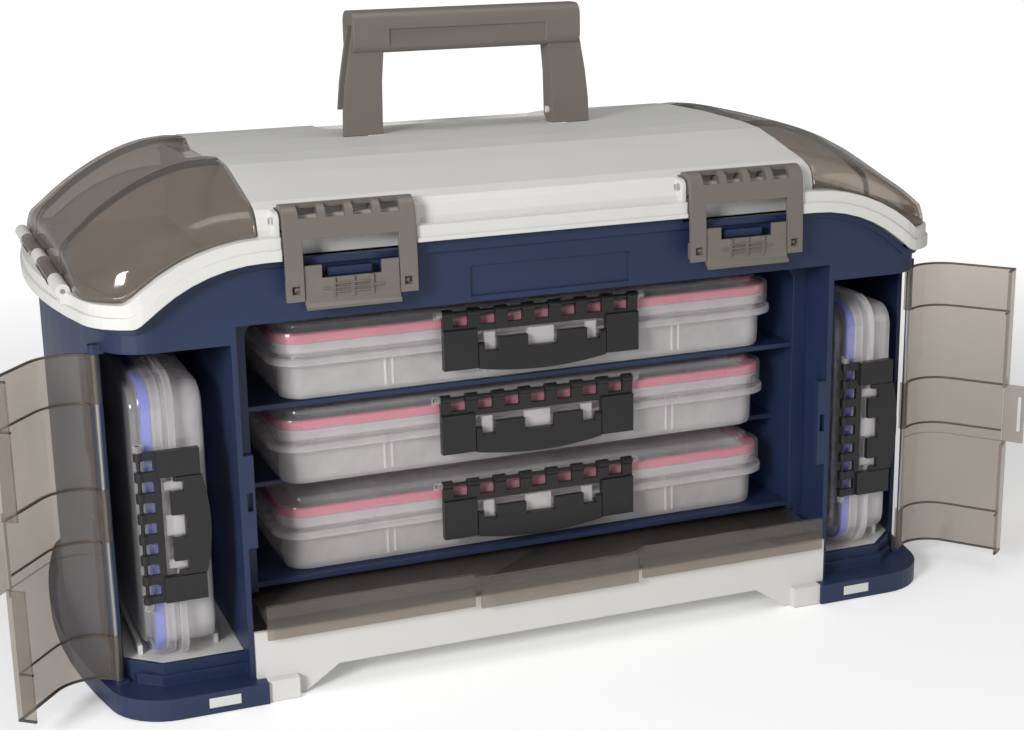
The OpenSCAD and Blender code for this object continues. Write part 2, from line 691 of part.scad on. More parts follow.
module on_latch(s) {
  translate([s * latch_x, 0, 0]) children();
}

// ---------------------------------------------------------------- side doors
door_r = 26;
door_side_x = door_pin_x + 0.5;
door_barrel_r = 2.8;
flap_x = 218.6;
flap_y = 156.3;
flap_tip_x = 205.2;
flap_r = 1.6;
flap_pin_r = 0.7;
flap_z0 = 100;
flap_z1 = 142;
door_bands = [[door_z0, 46], [108, 142], [196, door_z1]];
function door_path(t) = concat(
  [[door_side_x - t, -door_pin_y - 4]],
  arc_pts(door_side_x - door_r, -door_face_y + door_r, door_r - t, 0, -90, 8));
module door_closed() {
  difference() {
    union() {
      along_z(door_z0, door_z1) polygon(concat(door_path(0), [[door_edge_x, -door_face_y],
        [door_edge_x, -door_face_y + 12], [door_edge_x + door_wall, -door_face_y + 12],
        [door_edge_x + door_wall, -door_face_y + door_wall]], reversed(door_path(door_wall))));
      for (b = door_bands) {
        rod_z(b[0], b[1], door_pin_x, -door_pin_y, door_barrel_r);
        block(door_side_x - door_wall, door_side_x, -door_pin_y - 5, -door_pin_y, b[0], b[1]);
      }
      for (z = [flap_z0 - 8, flap_z1 + 0.3])
        block(door_edge_x, door_edge_x + 4, -door_face_y, -door_face_y + 4, z, z + 7.7);
    }
    rod_z(door_z0 - 1, door_z1 + 1, door_pin_x, -door_pin_y, door_pin_r + run_fit);
    block(door_edge_x - 1, flap_x + 2.2, -door_face_y - 1, -door_face_y + 14, flap_z0 - 0.3,
      flap_z1 + 0.3);
    rod_z(flap_z0 - 5.2, flap_z1 + 5.2, flap_x, -flap_y, flap_pin_r + run_fit);
  }
}
module flap_closed() {
  difference() {
    union() {
      rod_z(flap_z0, flap_z1, flap_x, -flap_y, flap_r);
      block(flap_tip_x, flap_x, -flap_y - flap_r, -flap_y, flap_z0, flap_z1);
    }
    block(flap_tip_x + 2.5, flap_tip_x + 5, -flap_y - 3, -flap_y + 1, flap_z0 + 8, flap_z1 - 8);
  }
  rod_z(flap_z0 - 5, flap_z1 + 5, flap_x, -flap_y, flap_pin_r);
}
module door_swung() {
  translate([door_pin_x, -door_pin_y, 0]) rotate([0, 0, door_open])
    translate([-door_pin_x, door_pin_y, 0]) children();
}

// ---------------------------------------------------------------- front door
ftab_x = 56;
ftab_y = rim_half_y;
ftab_z = 60;
ftab_r = 1.7;
ftab_pin_r = 0.9;
module front_door() {
  lip_y = rim_half_y - 2;
  block(-fdoor_x, fdoor_x, -lip_y, -lip_y + fdoor_len, fdoor_z, fdoor_z + fdoor_wall);
  difference() {
    both_x() {
      block(60, fdoor_x, -lip_y - 3, -lip_y, 42, 64);
      block(ftab_x + 0.3, 60.5, -ftab_y - 2, -lip_y + 1, fdoor_z, 62.5);
    }
    rod_x(-60, 60, -ftab_y, ftab_z, ftab_pin_r + run_fit);
  }
}
module front_door_flap() {
  rod_x(-ftab_x, ftab_x, -ftab_y, ftab_z, ftab_r);
  block(-ftab_x, ftab_x, -ftab_y - ftab_r, -ftab_y + 0.2, 40, ftab_z);
  rod_x(-ftab_x - 3.5, ftab_x + 3.5, -ftab_y, ftab_z, ftab_pin_r);
}

// ---------------------------------------------------------------- boxes
// drawn with the middle of the front bottom edge at the origin, y to the back, z up;
// heights are taken down from the top h, so that long and small boxes share one section
ring_r = 20;
tub_in = 7;
tub_wall = 2;
rim_in = 1.5;
rim_drop = 4;
top_in = 9.5;
skirt_low = 18;
seal_top = rim_drop + tub_wall;
seal_low = 12;
ring_top = 21;
ring_low = 26;
divider_drop = 16;
divider_half = 0.8;
clasp_w = 136;
side_clasp_w = 97;
clasp_y = 2.2;
clasp_drop = 1.6;
clasp_pin_r = 1.2;
hook_r = 2.9;
plate_out = 4.2;
plate_in = 1.2;
end_out = 6.2;
end_low = 38;
strip_low = 14;
window_low = 10;
window_step = 18.6;
window_half = 5.2;
lever_half = 45;
lever_out = 6.4;
lever_in = 2.8;
lever_drop = 23;
blever_y = 4.4;
blever_pin_r = 0.8;
module plan(l, d, inset) {
  translate([0, d / 2]) polygon(rr_pts(l - 2 * inset, d - 2 * inset, ring_r - 0.7 * inset));
}
module plan_ring(l, d, i0, i1) {
  difference() {
    plan(l, d, i0);
    plan(l, d, i1);
  }
}
module box_tub(l, d, h, k) {
  along_z(0, h - seal_low) plan_ring(l, d, tub_in, tub_in + tub_wall);
  along_z(0, tub_wall) plan(l, d, tub_in);
  along_z(h - seal_low - 2, h - seal_low) plan_ring(l, d, rim_in + 2.1, tub_in + tub_wall);
  along_z(h - ring_top - 2, h - ring_top) plan_ring(l, d, 0, tub_in + tub_wall);
  along_z(h - ring_low, h - ring_top) plan_ring(l, d, 0, 2);
  for (x = [[-39, -31.8], [-9, 9], [31.8, 39]])
    block(x[0] * k, x[1] * k, -2.1, 1, h - ring_low - 1, h - strip_low - 2);
}
module box_gasket(l, d, h) {
  along_z(h - seal_low, h - seal_top) plan_ring(l, d, rim_in + 2.2, tub_in - 0.4);
}
module box_lid(l, d, h, k) {
  x = clasp_w * k / 2 + 2.3;
  difference() {
    union() {
      along_z(h - 2, h) plan(l, d, top_in);
      along_z(h - seal_top, h) plan_ring(l, d, top_in, top_in + 2);
      along_z(h - seal_top, h - rim_drop) plan_ring(l, d, rim_in, top_in + 2);
      along_z(h - skirt_low, h - rim_drop) plan_ring(l, d, rim_in, rim_in + 2);
      both_x() block(x - 2, x + 2, -clasp_y - 2.6, 2.5, h - rim_drop - 2, h - clasp_drop + 2.6);
    }
    rod_x(-x - 3, x + 3, -clasp_y, h - clasp_drop, clasp_pin_r + run_fit);
  }
}
module box_dividers(l, d, h, n) {
  li = l - 2 * (tub_in + tub_wall);
  di = d - 2 * (tub_in + tub_wall);
  block(-li / 2, li / 2, d / 2 - divider_half, d / 2 + divider_half, tub_wall, h - divider_drop);
  for (i = [1:n]) {
    x = -li / 2 + li * i / (n + 1);
    block(x - divider_half, x + divider_half, (d - di) / 2, (d + di) / 2, tub_wall,
      h - divider_drop);
  }
}
module box_clasp(h, k) {
  cz = h - clasp_drop;
  w = clasp_w * k / 2;
  difference() {
    union() {
      rod_x(-w, w, -clasp_y, cz, hook_r);
      block(-w, w, -plate_out, -plate_in, h - strip_low, cz);
      both_x() block(lever_half * k, w, -end_out, -plate_in, h - end_low, h - strip_low + 2);
    }
    for (i = [-3:3])
      block(i * window_step * k - window_half * k, i * window_step * k + window_half * k,
        -9, 3, h - window_low, h + 3);
    rod_x(-lever_half * k - 3, lever_half * k + 3, -blever_y, h - lever_drop,
      blever_pin_r + run_fit);
  }
  rod_x(-w - 4.3, w + 4.3, -clasp_y, cz, clasp_pin_r);
}
module box_lever(h, k) {
  w = lever_half * k - 0.6;
  along_y(-lever_out, -lever_in) polygon(concat(
    [for (i = [-6:6]) [w * i / 6, h - 42.6 + 4 * pow(i / 6, 2)]],
    [[w, h - lever_drop], [w - 4 * k, h - lever_drop], [w - 4 * k, h - 27.4], [31 * k, h - 27.4],
      [31 * k, h - 19], [10.5 * k, h - 19], [10.5 * k, h - 27.4], [-10.5 * k, h - 27.4],
      [-10.5 * k, h - 19], [-31 * k, h - 19], [-31 * k, h - 27.4], [-w + 4 * k, h - 27.4],
      [-w + 4 * k, h - lever_drop], [-w, h - lever_drop]]));
  both_x() {
    rod_x(w - 4 * k, w, -blever_y, h - lever_drop, blever_y - lever_in);
    rod_x(w - 1, w + 2.4, -blever_y, h - lever_drop, blever_pin_r);
  }
}
side_k = side_clasp_w / clasp_w;
module at_box(i) {
  y = i == 3 ? top_box_y : box_y;
  translate([0, -y, box_z + (i - 1) * box_pitch]) children();
}
module at_side(s) {
  x = s > 0 ? side_x + side_h : -side_x;
  translate([x, -side_y, deck_z + side_len / 2]) rotate([0, -90, 0]) children();
}

clear = [0.86, 0.86, 0.9];
navy = [0.17, 0.23, 0.4];
pale = [0.79, 0.78, 0.77];
taupe = [0.42, 0.39, 0.37];
smoke = [0.45, 0.42, 0.4];
metal = [0.7, 0.7, 0.72];
pink = [0.77, 0.28, 0.42];
blue = [0.29, 0.37, 0.82];
black = [0.12, 0.12, 0.12];

module n_case_shell() { color(navy) case_shell(); }
module n_rack_frame() { color(navy) rack_frame(); }
module n_rack_floor() { color(navy) rack_floor(); }
module n_rack_shelf() { color(navy) rack_shelf(); }
module n_rack_rails() { color(navy) rack_rails(); }
module n_bin_floor() { color(navy) bin_floor(); }
module n_base_tray() { color(pale) base_tray(); }
module n_lid_hinge_pin() { color(metal) lid_hinge_pin(); }
module n_door_pin_left() { color(metal) door_pin(-1); }
module n_door_pin_right() { color(metal) door_pin(1); }
module n_lid() { color(pale) lid(); }
module n_cover_pin_left() { color(metal) cover_pin(-1); }
module n_cover_pin_right() { color(metal) cover_pin(1); }
module n_latch_rod_left() { color(metal) latch_rod(-1); }
module n_latch_rod_right() { color(metal) latch_rod(1); }
module n_handle_mounts() { color(pale) handle_mounts(); }
module n_handle_frame() { color(taupe) handle_frame(); }
module n_handle_grip() { color(taupe) handle_grip(); }
module n_end_cover_left() { color(smoke) mirror([1, 0, 0]) end_cover(); }
module n_end_cover_right() { color(smoke) end_cover(); }
module n_latch_plate_left() { color(taupe) on_latch(-1) latch_plate(); }
module n_latch_plate_right() { color(taupe) on_latch(1) latch_plate(); }
module n_latch_lever_left() { color(taupe) on_latch(-1) latch_lever(); }
module n_latch_lever_right() { color(taupe) on_latch(1) latch_lever(); }
module n_side_door_left() { color(smoke) mirror([1, 0, 0]) door_swung() door_closed(); }
module n_side_door_right() { color(smoke) door_swung() door_closed(); }
module n_side_door_flap_left() { color(smoke) mirror([1, 0, 0]) door_swung() flap_closed(); }
module n_side_door_flap_right() { color(smoke) door_swung() flap_closed(); }
module n_front_door() { color(smoke) front_door(); }
module n_front_door_flap() { color(smoke) front_door_flap(); }
module n_box_tub(i) { color(clear) at_box(i) box_tub(box_len, box_dep, box_h, 1); }
module n_box_lid(i) { color(clear) at_box(i) box_lid(box_len, box_dep, box_h, 1); }
module n_box_gasket(i) { color(pink) at_box(i) box_gasket(box_len, box_dep, box_h); }
module n_box_dividers(i) { color(clear) at_box(i) box_dividers(box_len, box_dep, box_h, 4); }
module n_box_clasp(i) { color(black) at_box(i) box_clasp(box_h, 1); }
module n_box_lever(i) { color(black) at_box(i) box_lever(box_h, 1); }
module n_side_tub(s) { color(clear) at_side(s) box_tub(side_len, side_dep, side_h, side_k); }
module n_side_lid(s) { color(clear) at_side(s) box_lid(side_len, side_dep, side_h, side_k); }
module n_side_gasket(s) { color(blue) at_side(s) box_gasket(side_len, side_dep, side_h); }
module n_side_dividers(s) { color(clear) at_side(s) box_dividers(side_len, side_dep, side_h, 3); }
module n_side_clasp(s) { color(black) at_side(s) box_clasp(side_h, side_k); }
module n_side_lever(s) { color(black) at_side(s) box_lever(side_h, side_k); }

n_case_shell();  // case_shell
n_rack_frame();  // rack_frame
n_rack_floor();  // rack_floor
n_rack_shelf();  // rack_shelf
n_rack_rails();  // rack_rails
n_bin_floor();  // bin_floor
n_base_tray();  // base_tray
n_lid_hinge_pin();  // lid_hinge_pin
n_door_pin_left();  // door_pin_left
n_door_pin_right();  // door_pin_right
n_lid();  // lid
n_cover_pin_left();  // cover_pin_left
n_cover_pin_right();  // cover_pin_right
n_latch_rod_left();  // latch_rod_left
n_latch_rod_right();  // latch_rod_right
n_handle_mounts();  // handle_mounts
n_handle_frame();  // handle_frame
n_handle_grip();  // handle_grip
n_end_cover_left();  // end_cover_left
n_end_cover_right();  // end_cover_right
n_latch_plate_left();  // latch_plate_left
n_latch_plate_right();  // latch_plate_right
n_latch_lever_left();  // latch_lever_left
n_latch_lever_right();  // latch_lever_right
n_side_door_left();  // side_door_left
n_side_door_right();  // side_door_right
n_side_door_flap_left();  // side_door_flap_left
n_side_door_flap_right();  // side_door_flap_right
n_front_door();  // front_door
n_front_door_flap();  // front_door_flap
n_box_tub(1);  // box1_tub
n_box_lid(1);  // box1_lid
n_box_gasket(1);  // box1_gasket
n_box_dividers(1);  // box1_dividers
n_box_clasp(1);  // box1_clasp
n_box_lever(1);  // box1_lever
n_box_tub(2);  // box2_tub
n_box_lid(2);  // box2_lid
n_box_gasket(2);  // box2_gasket
n_box_dividers(2);  // box2_dividers
n_box_clasp(2);  // box2_clasp
n_box_lever(2);  // box2_lever
n_box_tub(3);  // box3_tub
n_box_lid(3);  // box3_lid
n_box_gasket(3);  // box3_gasket
n_box_dividers(3);  // box3_dividers
n_box_clasp(3);  // box3_clasp
n_box_lever(3);  // box3_lever
n_side_tub(-1);  // box_left_tub
n_side_lid(-1);  // box_left_lid
n_side_gasket(-1);  // box_left_gasket
n_side_dividers(-1);  // box_left_dividers
n_side_clasp(-1);  // box_left_clasp
n_side_lever(-1);  // box_left_lever
n_side_tub(1);  // box_right_tub
n_side_lid(1);  // box_right_lid
n_side_gasket(1);  // box_right_gasket
n_side_dividers(1);  // box_right_dividers
n_side_clasp(1);  // box_right_clasp
n_side_lever(1);  // box_right_lever
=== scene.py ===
import json
import math

import bmesh
import bpy
from mathutils import Matrix, Vector


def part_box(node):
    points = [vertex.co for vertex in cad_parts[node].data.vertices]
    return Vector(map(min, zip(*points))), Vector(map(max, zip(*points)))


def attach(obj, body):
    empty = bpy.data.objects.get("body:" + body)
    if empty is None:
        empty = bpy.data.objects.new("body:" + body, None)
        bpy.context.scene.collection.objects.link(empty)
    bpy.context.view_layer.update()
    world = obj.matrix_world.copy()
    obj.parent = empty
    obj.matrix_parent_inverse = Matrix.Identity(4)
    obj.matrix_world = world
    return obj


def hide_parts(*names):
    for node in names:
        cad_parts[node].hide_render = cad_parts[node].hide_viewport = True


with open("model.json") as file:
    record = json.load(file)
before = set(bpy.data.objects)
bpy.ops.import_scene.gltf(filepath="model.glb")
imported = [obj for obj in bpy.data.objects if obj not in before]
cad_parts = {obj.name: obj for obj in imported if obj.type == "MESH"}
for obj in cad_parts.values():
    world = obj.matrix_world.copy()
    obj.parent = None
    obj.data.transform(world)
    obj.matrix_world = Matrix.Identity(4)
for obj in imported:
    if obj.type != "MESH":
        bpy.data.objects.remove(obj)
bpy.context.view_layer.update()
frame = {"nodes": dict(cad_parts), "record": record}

MM = 0.001


# ------------------------------------------------------------------ colours and materials
GLOSS_SPREAD = (-0.05, 0.07)    # how far a moulded wall's roughness drifts about its value
HAZE_SPREAD = (0.75, 1.25)      # and a clear wall's haze, as a share of its value
HAZE_FROM_BEHIND = 0.25         # share of the haze that takes its light from behind the wall
MIRROR_HEAD_ON = 0.035          # what clear plastic mirrors seen head on
MIRROR_AT_GLANCE = 0.9          # and seen along its face
GLANCE_POWER = 5.0
PLASTIC_IOR = 1.49


def linear(hex_colour):
    """An sRGB hex colour as the linear RGBA that a shader socket takes."""
    channels = [int(hex_colour[i:i + 2], 16) / 255 for i in (1, 3, 5)]
    return [c / 12.92 if c <= 0.04045 else ((c + 0.055) / 1.055) ** 2.4 for c in channels] + [1.0]


def add_node(tree, kind, settings=None, inputs=None, links=None):
    """Adds one node, sets its properties and sockets, and links other nodes' outputs into it."""
    node = tree.nodes.new(kind)
    for key, value in (settings or {}).items():
        setattr(node, key, value)
    for key, value in (inputs or {}).items():
        node.inputs[key].default_value = value
    for key, source in (links or {}).items():
        tree.links.new(source, node.inputs[key])
    return node


def new_material(name):
    """A material with an empty node tree, and that tree."""
    material = bpy.data.materials.new(name)
    material.use_nodes = True
    material.node_tree.nodes.clear()
    return material, material.node_tree


def mix_shaders(tree, share, first, second):
    """Mixes two shaders; share is a number, or another node's output."""
    mixed = add_node(tree, "ShaderNodeMixShader")
    if isinstance(share, float):
        mixed.inputs[0].default_value = share
    else:
        tree.links.new(share, mixed.inputs[0])
    tree.links.new(first, mixed.inputs[1])
    tree.links.new(second, mixed.inputs[2])
    return mixed.outputs["Shader"]


def moulded_plastic(name, colour, worn, roughness, grain_mm, grain_depth, edge_mm):
    """Injection-moulded opaque plastic: a colour that drifts a little towards worn over a wall, a
    fine spark-eroded grain, and edges shaded as if rounded by edge_mm."""
    material, tree = new_material(name)
    place = add_node(tree, "ShaderNodeTexCoord")
    drift = add_node(tree, "ShaderNodeTexNoise", inputs={"Scale": 14.0, "Detail": 3.0},
                     links={"Vector": place.outputs["Object"]})
    grain = add_node(tree, "ShaderNodeTexNoise", inputs={"Scale": 1000.0 / grain_mm, "Detail": 2.0},
                     links={"Vector": place.outputs["Object"]})
    rounding = add_node(tree, "ShaderNodeBevel", {"samples": 4}, {"Radius": edge_mm * MM})
    bump = add_node(tree, "ShaderNodeBump", inputs={"Strength": grain_depth, "Distance": 0.0002},
                    links={"Height": grain.outputs["Fac"], "Normal": rounding.outputs["Normal"]})
    tint = add_node(tree, "ShaderNodeMix", {"data_type": "RGBA"},
                    {"A": linear(colour), "B": linear(worn)}, {"Factor": drift.outputs["Fac"]})
    gloss = add_node(tree, "ShaderNodeMapRange",
                     inputs={"To Min": roughness + GLOSS_SPREAD[0], "To Max": roughness + GLOSS_SPREAD[1]},
                     links={"Value": drift.outputs["Fac"]})
    shader = add_node(tree, "ShaderNodeBsdfPrincipled", inputs={"IOR": PLASTIC_IOR},
                      links={"Base Color": tint.outputs["Result"], "Roughness": gloss.outputs["Result"],
                             "Normal": bump.outputs["Normal"]})
    add_node(tree, "ShaderNodeOutputMaterial", links={"Surface": shader.outputs["BSDF"]})
    return material


def clear_plastic(name, tint, haze_colour, haze, roughness, ripple=0.12):
    """Thin moulded clear plastic: light goes straight through and takes the tint, a share of it
    scatters in the wall as haze, and the surface mirrors the studio more at a glance."""
    material, tree = new_material(name)
    place = add_node(tree, "ShaderNodeTexCoord")
    flow = add_node(tree, "ShaderNodeTexNoise", inputs={"Scale": 55.0, "Detail": 2.0},
                    links={"Vector": place.outputs["Object"]})
    bump = add_node(tree, "ShaderNodeBump", inputs={"Strength": ripple, "Distance": 0.0006},
                    links={"Height": flow.outputs["Fac"]})
    milk = add_node(tree, "ShaderNodeMapRange",
                    inputs={"To Min": haze * HAZE_SPREAD[0], "To Max": haze * HAZE_SPREAD[1]},
                    links={"Value": flow.outputs["Fac"]})
    through = add_node(tree, "ShaderNodeBsdfTransparent", inputs={"Color": linear(tint)})
    front = add_node(tree, "ShaderNodeBsdfDiffuse", inputs={"Color": linear(haze_colour)})
    behind = add_node(tree, "ShaderNodeBsdfTranslucent", inputs={"Color": linear(haze_colour)})
    scatter = mix_shaders(tree, HAZE_FROM_BEHIND, front.outputs["BSDF"], behind.outputs["BSDF"])
    wall = mix_shaders(tree, milk.outputs["Result"], through.outputs["BSDF"], scatter)
    mirror = add_node(tree, "ShaderNodeBsdfGlossy",
                      inputs={"Color": (1, 1, 1, 1), "Roughness": roughness},
                      links={"Normal": bump.outputs["Normal"]})
    # the mirror grows at a glance alike on both faces of a wall, so light can leave it again
    facing = add_node(tree, "ShaderNodeLayerWeight", inputs={"Blend": 0.5},
                      links={"Normal": bump.outputs["Normal"]})
    steep = add_node(tree, "ShaderNodeMath", {"operation": "POWER"}, {1: GLANCE_POWER},
                     {0: facing.outputs["Facing"]})
    glance = add_node(tree, "ShaderNodeMapRange",
                      inputs={"To Min": MIRROR_HEAD_ON, "To Max": MIRROR_AT_GLANCE},
                      links={"Value": steep.outputs["Value"]})
    surface = mix_shaders(tree, glance.outputs["Result"], wall, mirror.outputs["BSDF"])
    add_node(tree, "ShaderNodeOutputMaterial", links={"Surface": surface})
    return material


def drawn_steel(name, colour, roughness):
    """Bright steel rod with a very fine, even grain."""
    material, tree = new_material(name)
    place = add_node(tree, "ShaderNodeTexCoord")
    grain = add_node(tree, "ShaderNodeTexNoise", inputs={"Scale": 900.0, "Detail": 2.0},
                     links={"Vector": place.outputs["Object"]})
    bump = add_node(tree, "ShaderNodeBump", inputs={"Strength": 0.2, "Distance": 0.0001},
                    links={"Height": grain.outputs["Fac"]})
    shader = add_node(tree, "ShaderNodeBsdfPrincipled",
                      inputs={"Base Color": linear(colour), "Metallic": 1.0, "Roughness": roughness},
                      links={"Normal": bump.outputs["Normal"]})
    add_node(tree, "ShaderNodeOutputMaterial", links={"Surface": shader.outputs["BSDF"]})
    return material


MATERIALS = {
    # ABS case, satin with a fine grain: deep navy with faint lighter drifts
    "case_blue": moulded_plastic("case_blue", "#1B2846", "#223050", roughness=0.42, grain_mm=0.7,
                                 grain_depth=0.35, edge_mm=0.8),
    # ABS lid and base in warm pale grey
    "pale_grey": moulded_plastic("pale_grey", "#CFCECA", "#D6D5D1", roughness=0.40, grain_mm=0.6,
                                 grain_depth=0.2, edge_mm=1.0),
    # glass-filled nylon latches and handle, dull warm grey
    "taupe_plastic": moulded_plastic("taupe_plastic", "#6A645E", "#736D66", roughness=0.38,
                                     grain_mm=0.5, grain_depth=0.3, edge_mm=0.7),
    # the latch rods, in a paler grey than the latches
    "rod_grey": moulded_plastic("rod_grey", "#9A958E", "#A39E97", roughness=0.35, grain_mm=0.5,
                                grain_depth=0.2, edge_mm=0.3),
    # acetal clasps, black and slightly glossy
    "clasp_black": moulded_plastic("clasp_black", "#161516", "#211F20", roughness=0.30,
                                   grain_mm=0.5, grain_depth=0.15, edge_mm=0.5),
    # thermoplastic elastomer seals, pink in the long boxes
    "gasket_pink": moulded_plastic("gasket_pink", "#D2486F", "#C23A62", roughness=0.5,
                                   grain_mm=0.5, grain_depth=0.1, edge_mm=0.4),
    # and blue in the side boxes
    "gasket_blue": moulded_plastic("gasket_blue", "#3F57D8", "#344BC6", roughness=0.5,
                                   grain_mm=0.5, grain_depth=0.1, edge_mm=0.4),
    # tinted styrene doors and covers: warm grey smoke, glossy
    "smoke_plastic": clear_plastic("smoke_plastic", "#DBD6D1", "#C4BCB4", haze=0.10, roughness=0.09),
    # polypropylene box lids and dividers, the clearer ones
    "clear_plastic": clear_plastic("clear_plastic", "#FDFCFD", "#FBF8F7", haze=0.15, roughness=0.14,
                                   ripple=0.3),
    # polypropylene box tubs, the milkier ones
    "milky_tub": clear_plastic("milky_tub", "#FDFCFD", "#FBF8F7", haze=0.32, roughness=0.16,
                               ripple=0.3),
    # the smoke styrene seen edge on, where the tint runs deep and brown
    "smoke_edge": moulded_plastic("smoke_edge", "#4B3F37", "#57493F", roughness=0.25, grain_mm=0.6,
                                  grain_depth=0.1, edge_mm=0.2),
    # hinge rods
    "pin_steel": drawn_steel("pin_steel", "#A9A9AB", roughness=0.3),
}
slot_of = {part["node"]: part["material_slot"] for part in frame["record"]["subparts"]}
for node_name, node_object in frame["nodes"].items():
    node_object.data.materials.clear()
    node_object.data.materials.append(MATERIALS[slot_of[node_name]])


# ------------------------------------------------------------------ making pieces
SHARP_ANGLE, BEVEL_ANGLE, FLAT_ANGLE = 32, 35, 1       # degrees
BEVEL_STEPS = 2
SEAM = 0.00001              # metres; vertices nearer than this are one


def finish_piece(name, shape, material, body, replaces=(), edge=None, bevel=0.0, wall=0.0):
    """Turns a bmesh into a piece that rides on a body. bevel rounds its sharp edges and wall
    thickens an open skin inwards, both in millimetres; edge names a second material."""
    bmesh.ops.recalc_face_normals(shape, faces=shape.faces)
    mesh = bpy.data.meshes.new(name)
    shape.to_mesh(mesh)
    shape.free()
    mesh.materials.append(MATERIALS[material])
    if edge:
        mesh.materials.append(MATERIALS[edge])
    mesh.shade_smooth()
    mesh.set_sharp_from_angle(angle=math.radians(SHARP_ANGLE))
    piece = bpy.data.objects.new(name, mesh)
    bpy.context.scene.collection.objects.link(piece)
    if wall:
        skin = piece.modifiers.new("wall", "SOLIDIFY")
        skin.thickness, skin.offset, skin.use_even_offset = wall * MM, -1.0, True
        skin.material_offset_rim = 1 if edge else 0
    if bevel:
        rounding = piece.modifiers.new("edge_round", "BEVEL")
        rounding.width, rounding.segments, rounding.limit_method = bevel * MM, BEVEL_STEPS, "ANGLE"
        rounding.angle_limit, rounding.harden_normals = math.radians(BEVEL_ANGLE), True
    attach(piece, body)
    if replaces:
        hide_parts(*replaces)


def rounded_copy(node, body, bevel):
    """The CAD node's own shape with its seams merged and its edges really rounded."""
    shape = bmesh.new()
    shape.from_mesh(frame["nodes"][node].data)
    bmesh.ops.remove_doubles(shape, verts=shape.verts, dist=SEAM)
    bmesh.ops.dissolve_limit(shape, angle_limit=math.radians(FLAT_ANGLE), verts=shape.verts,
                             edges=shape.edges)
    finish_piece(f"{node}_rounded", shape, slot_of[node], body, (node,), bevel=bevel)


def corner_of(node):
    """Lowest and highest corner of a CAD node in millimetres."""
    low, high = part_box(node)
    return [c / MM for c in low], [c / MM for c in high]


def lookup(table, value):
    """Smooth reading of a table of (position, height) pairs."""
    last = len(table) - 1
    if value <= table[0][0]:
        return table[0][1]
    if value >= table[last][0]:
        return table[last][1]
    k = max(i for i in range(last) if table[i][0] <= value)
    (x0, y0), (x1, y1) = table[k], table[k + 1]
    before = table[k - 1] if k else (2 * x0 - x1, 2 * y0 - y1)
    after = table[k + 2] if k + 2 <= last else (2 * x1 - x0, 2 * y1 - y0)
    m0, m1 = (y1 - before[1]) / (x1 - before[0]), (after[1] - y0) / (after[0] - x0)
    t, span = (value - x0) / (x1 - x0), x1 - x0
    return ((2 * t**3 - 3 * t**2 + 1) * y0 + (t**3 - 2 * t**2 + t) * span * m0
            + (3 * t**2 - 2 * t**3) * y1 + (t**3 - t**2) * span * m1)


def ease(t):
    """A soft step from 0 to 1."""
    t = min(1.0, max(0.0, t))
    return t * t * (3 - 2 * t)


def arc(cx, cy, radius, start, end, count):
    """Points on an arc, angles in degrees."""
    turns = [math.radians(start + (end - start) * i / count) for i in range(count + 1)]
    return [(cx + radius * math.cos(a), cy + radius * math.sin(a)) for a in turns]


def turned(axis, u, v, w):
    """Section coordinates u and v, and the place w along the axis, as x, y and z."""
    return {"x": (w, u, v), "y": (u, w, v), "z": (u, v, w)}[axis]


def as_is(point):
    """A put, which is what sets a point in its place, that leaves it where it is."""
    return point


def add_vert(shape, point):
    """A vertex at a point given in millimetres."""
    return shape.verts.new(Vector(point) * MM)


def skin_rings(shape, rings, closed=False):
    """Faces between neighbouring rings of vertices, and from the last to the first if closed."""
    faces = []
    for low, high in list(zip(rings, rings[1:])) + ([(rings[-1], rings[0])] if closed else []):
        for i in range(len(low)):
            j = (i + 1) % len(low)
            faces.append(shape.faces.new((low[i], low[j], high[j], high[i])))
    return faces


def add_prism(shape, outline, axis, a, b, material=0, put=as_is):
    """A closed outline drawn out along x, y or z from a to b, in millimetres."""
    rings = [[add_vert(shape, put(turned(axis, u, v, w))) for u, v in outline] for w in (a, b)]
    faces = [shape.faces.new(rings[0]), shape.faces.new(rings[1][::-1])]
    for face in faces + skin_rings(shape, rings):
        face.material_index = material


def add_block(shape, x0, x1, y0, y1, z0, z1, material=0, put=as_is):
    """A block between two corners, in millimetres."""
    add_prism(shape, [(x0, y0), (x1, y0), (x1, y1), (x0, y1)], "z", z0, z1, material, put)


def add_tube(shape, centre, outer, bore, axis, a, b, put=as_is, sides=20):
    """A tube with an open bore, so that its pin turns free in it, in millimetres."""
    rings = []
    for radius, end in ((outer, a), (outer, b), (bore, b), (bore, a)):
        circle = arc(centre[0], centre[1], radius, 0, 360, sides)[:-1]
        rings.append([add_vert(shape, put(turned(axis, u, v, end))) for u, v in circle])
    skin_rings(shape, rings, closed=True)


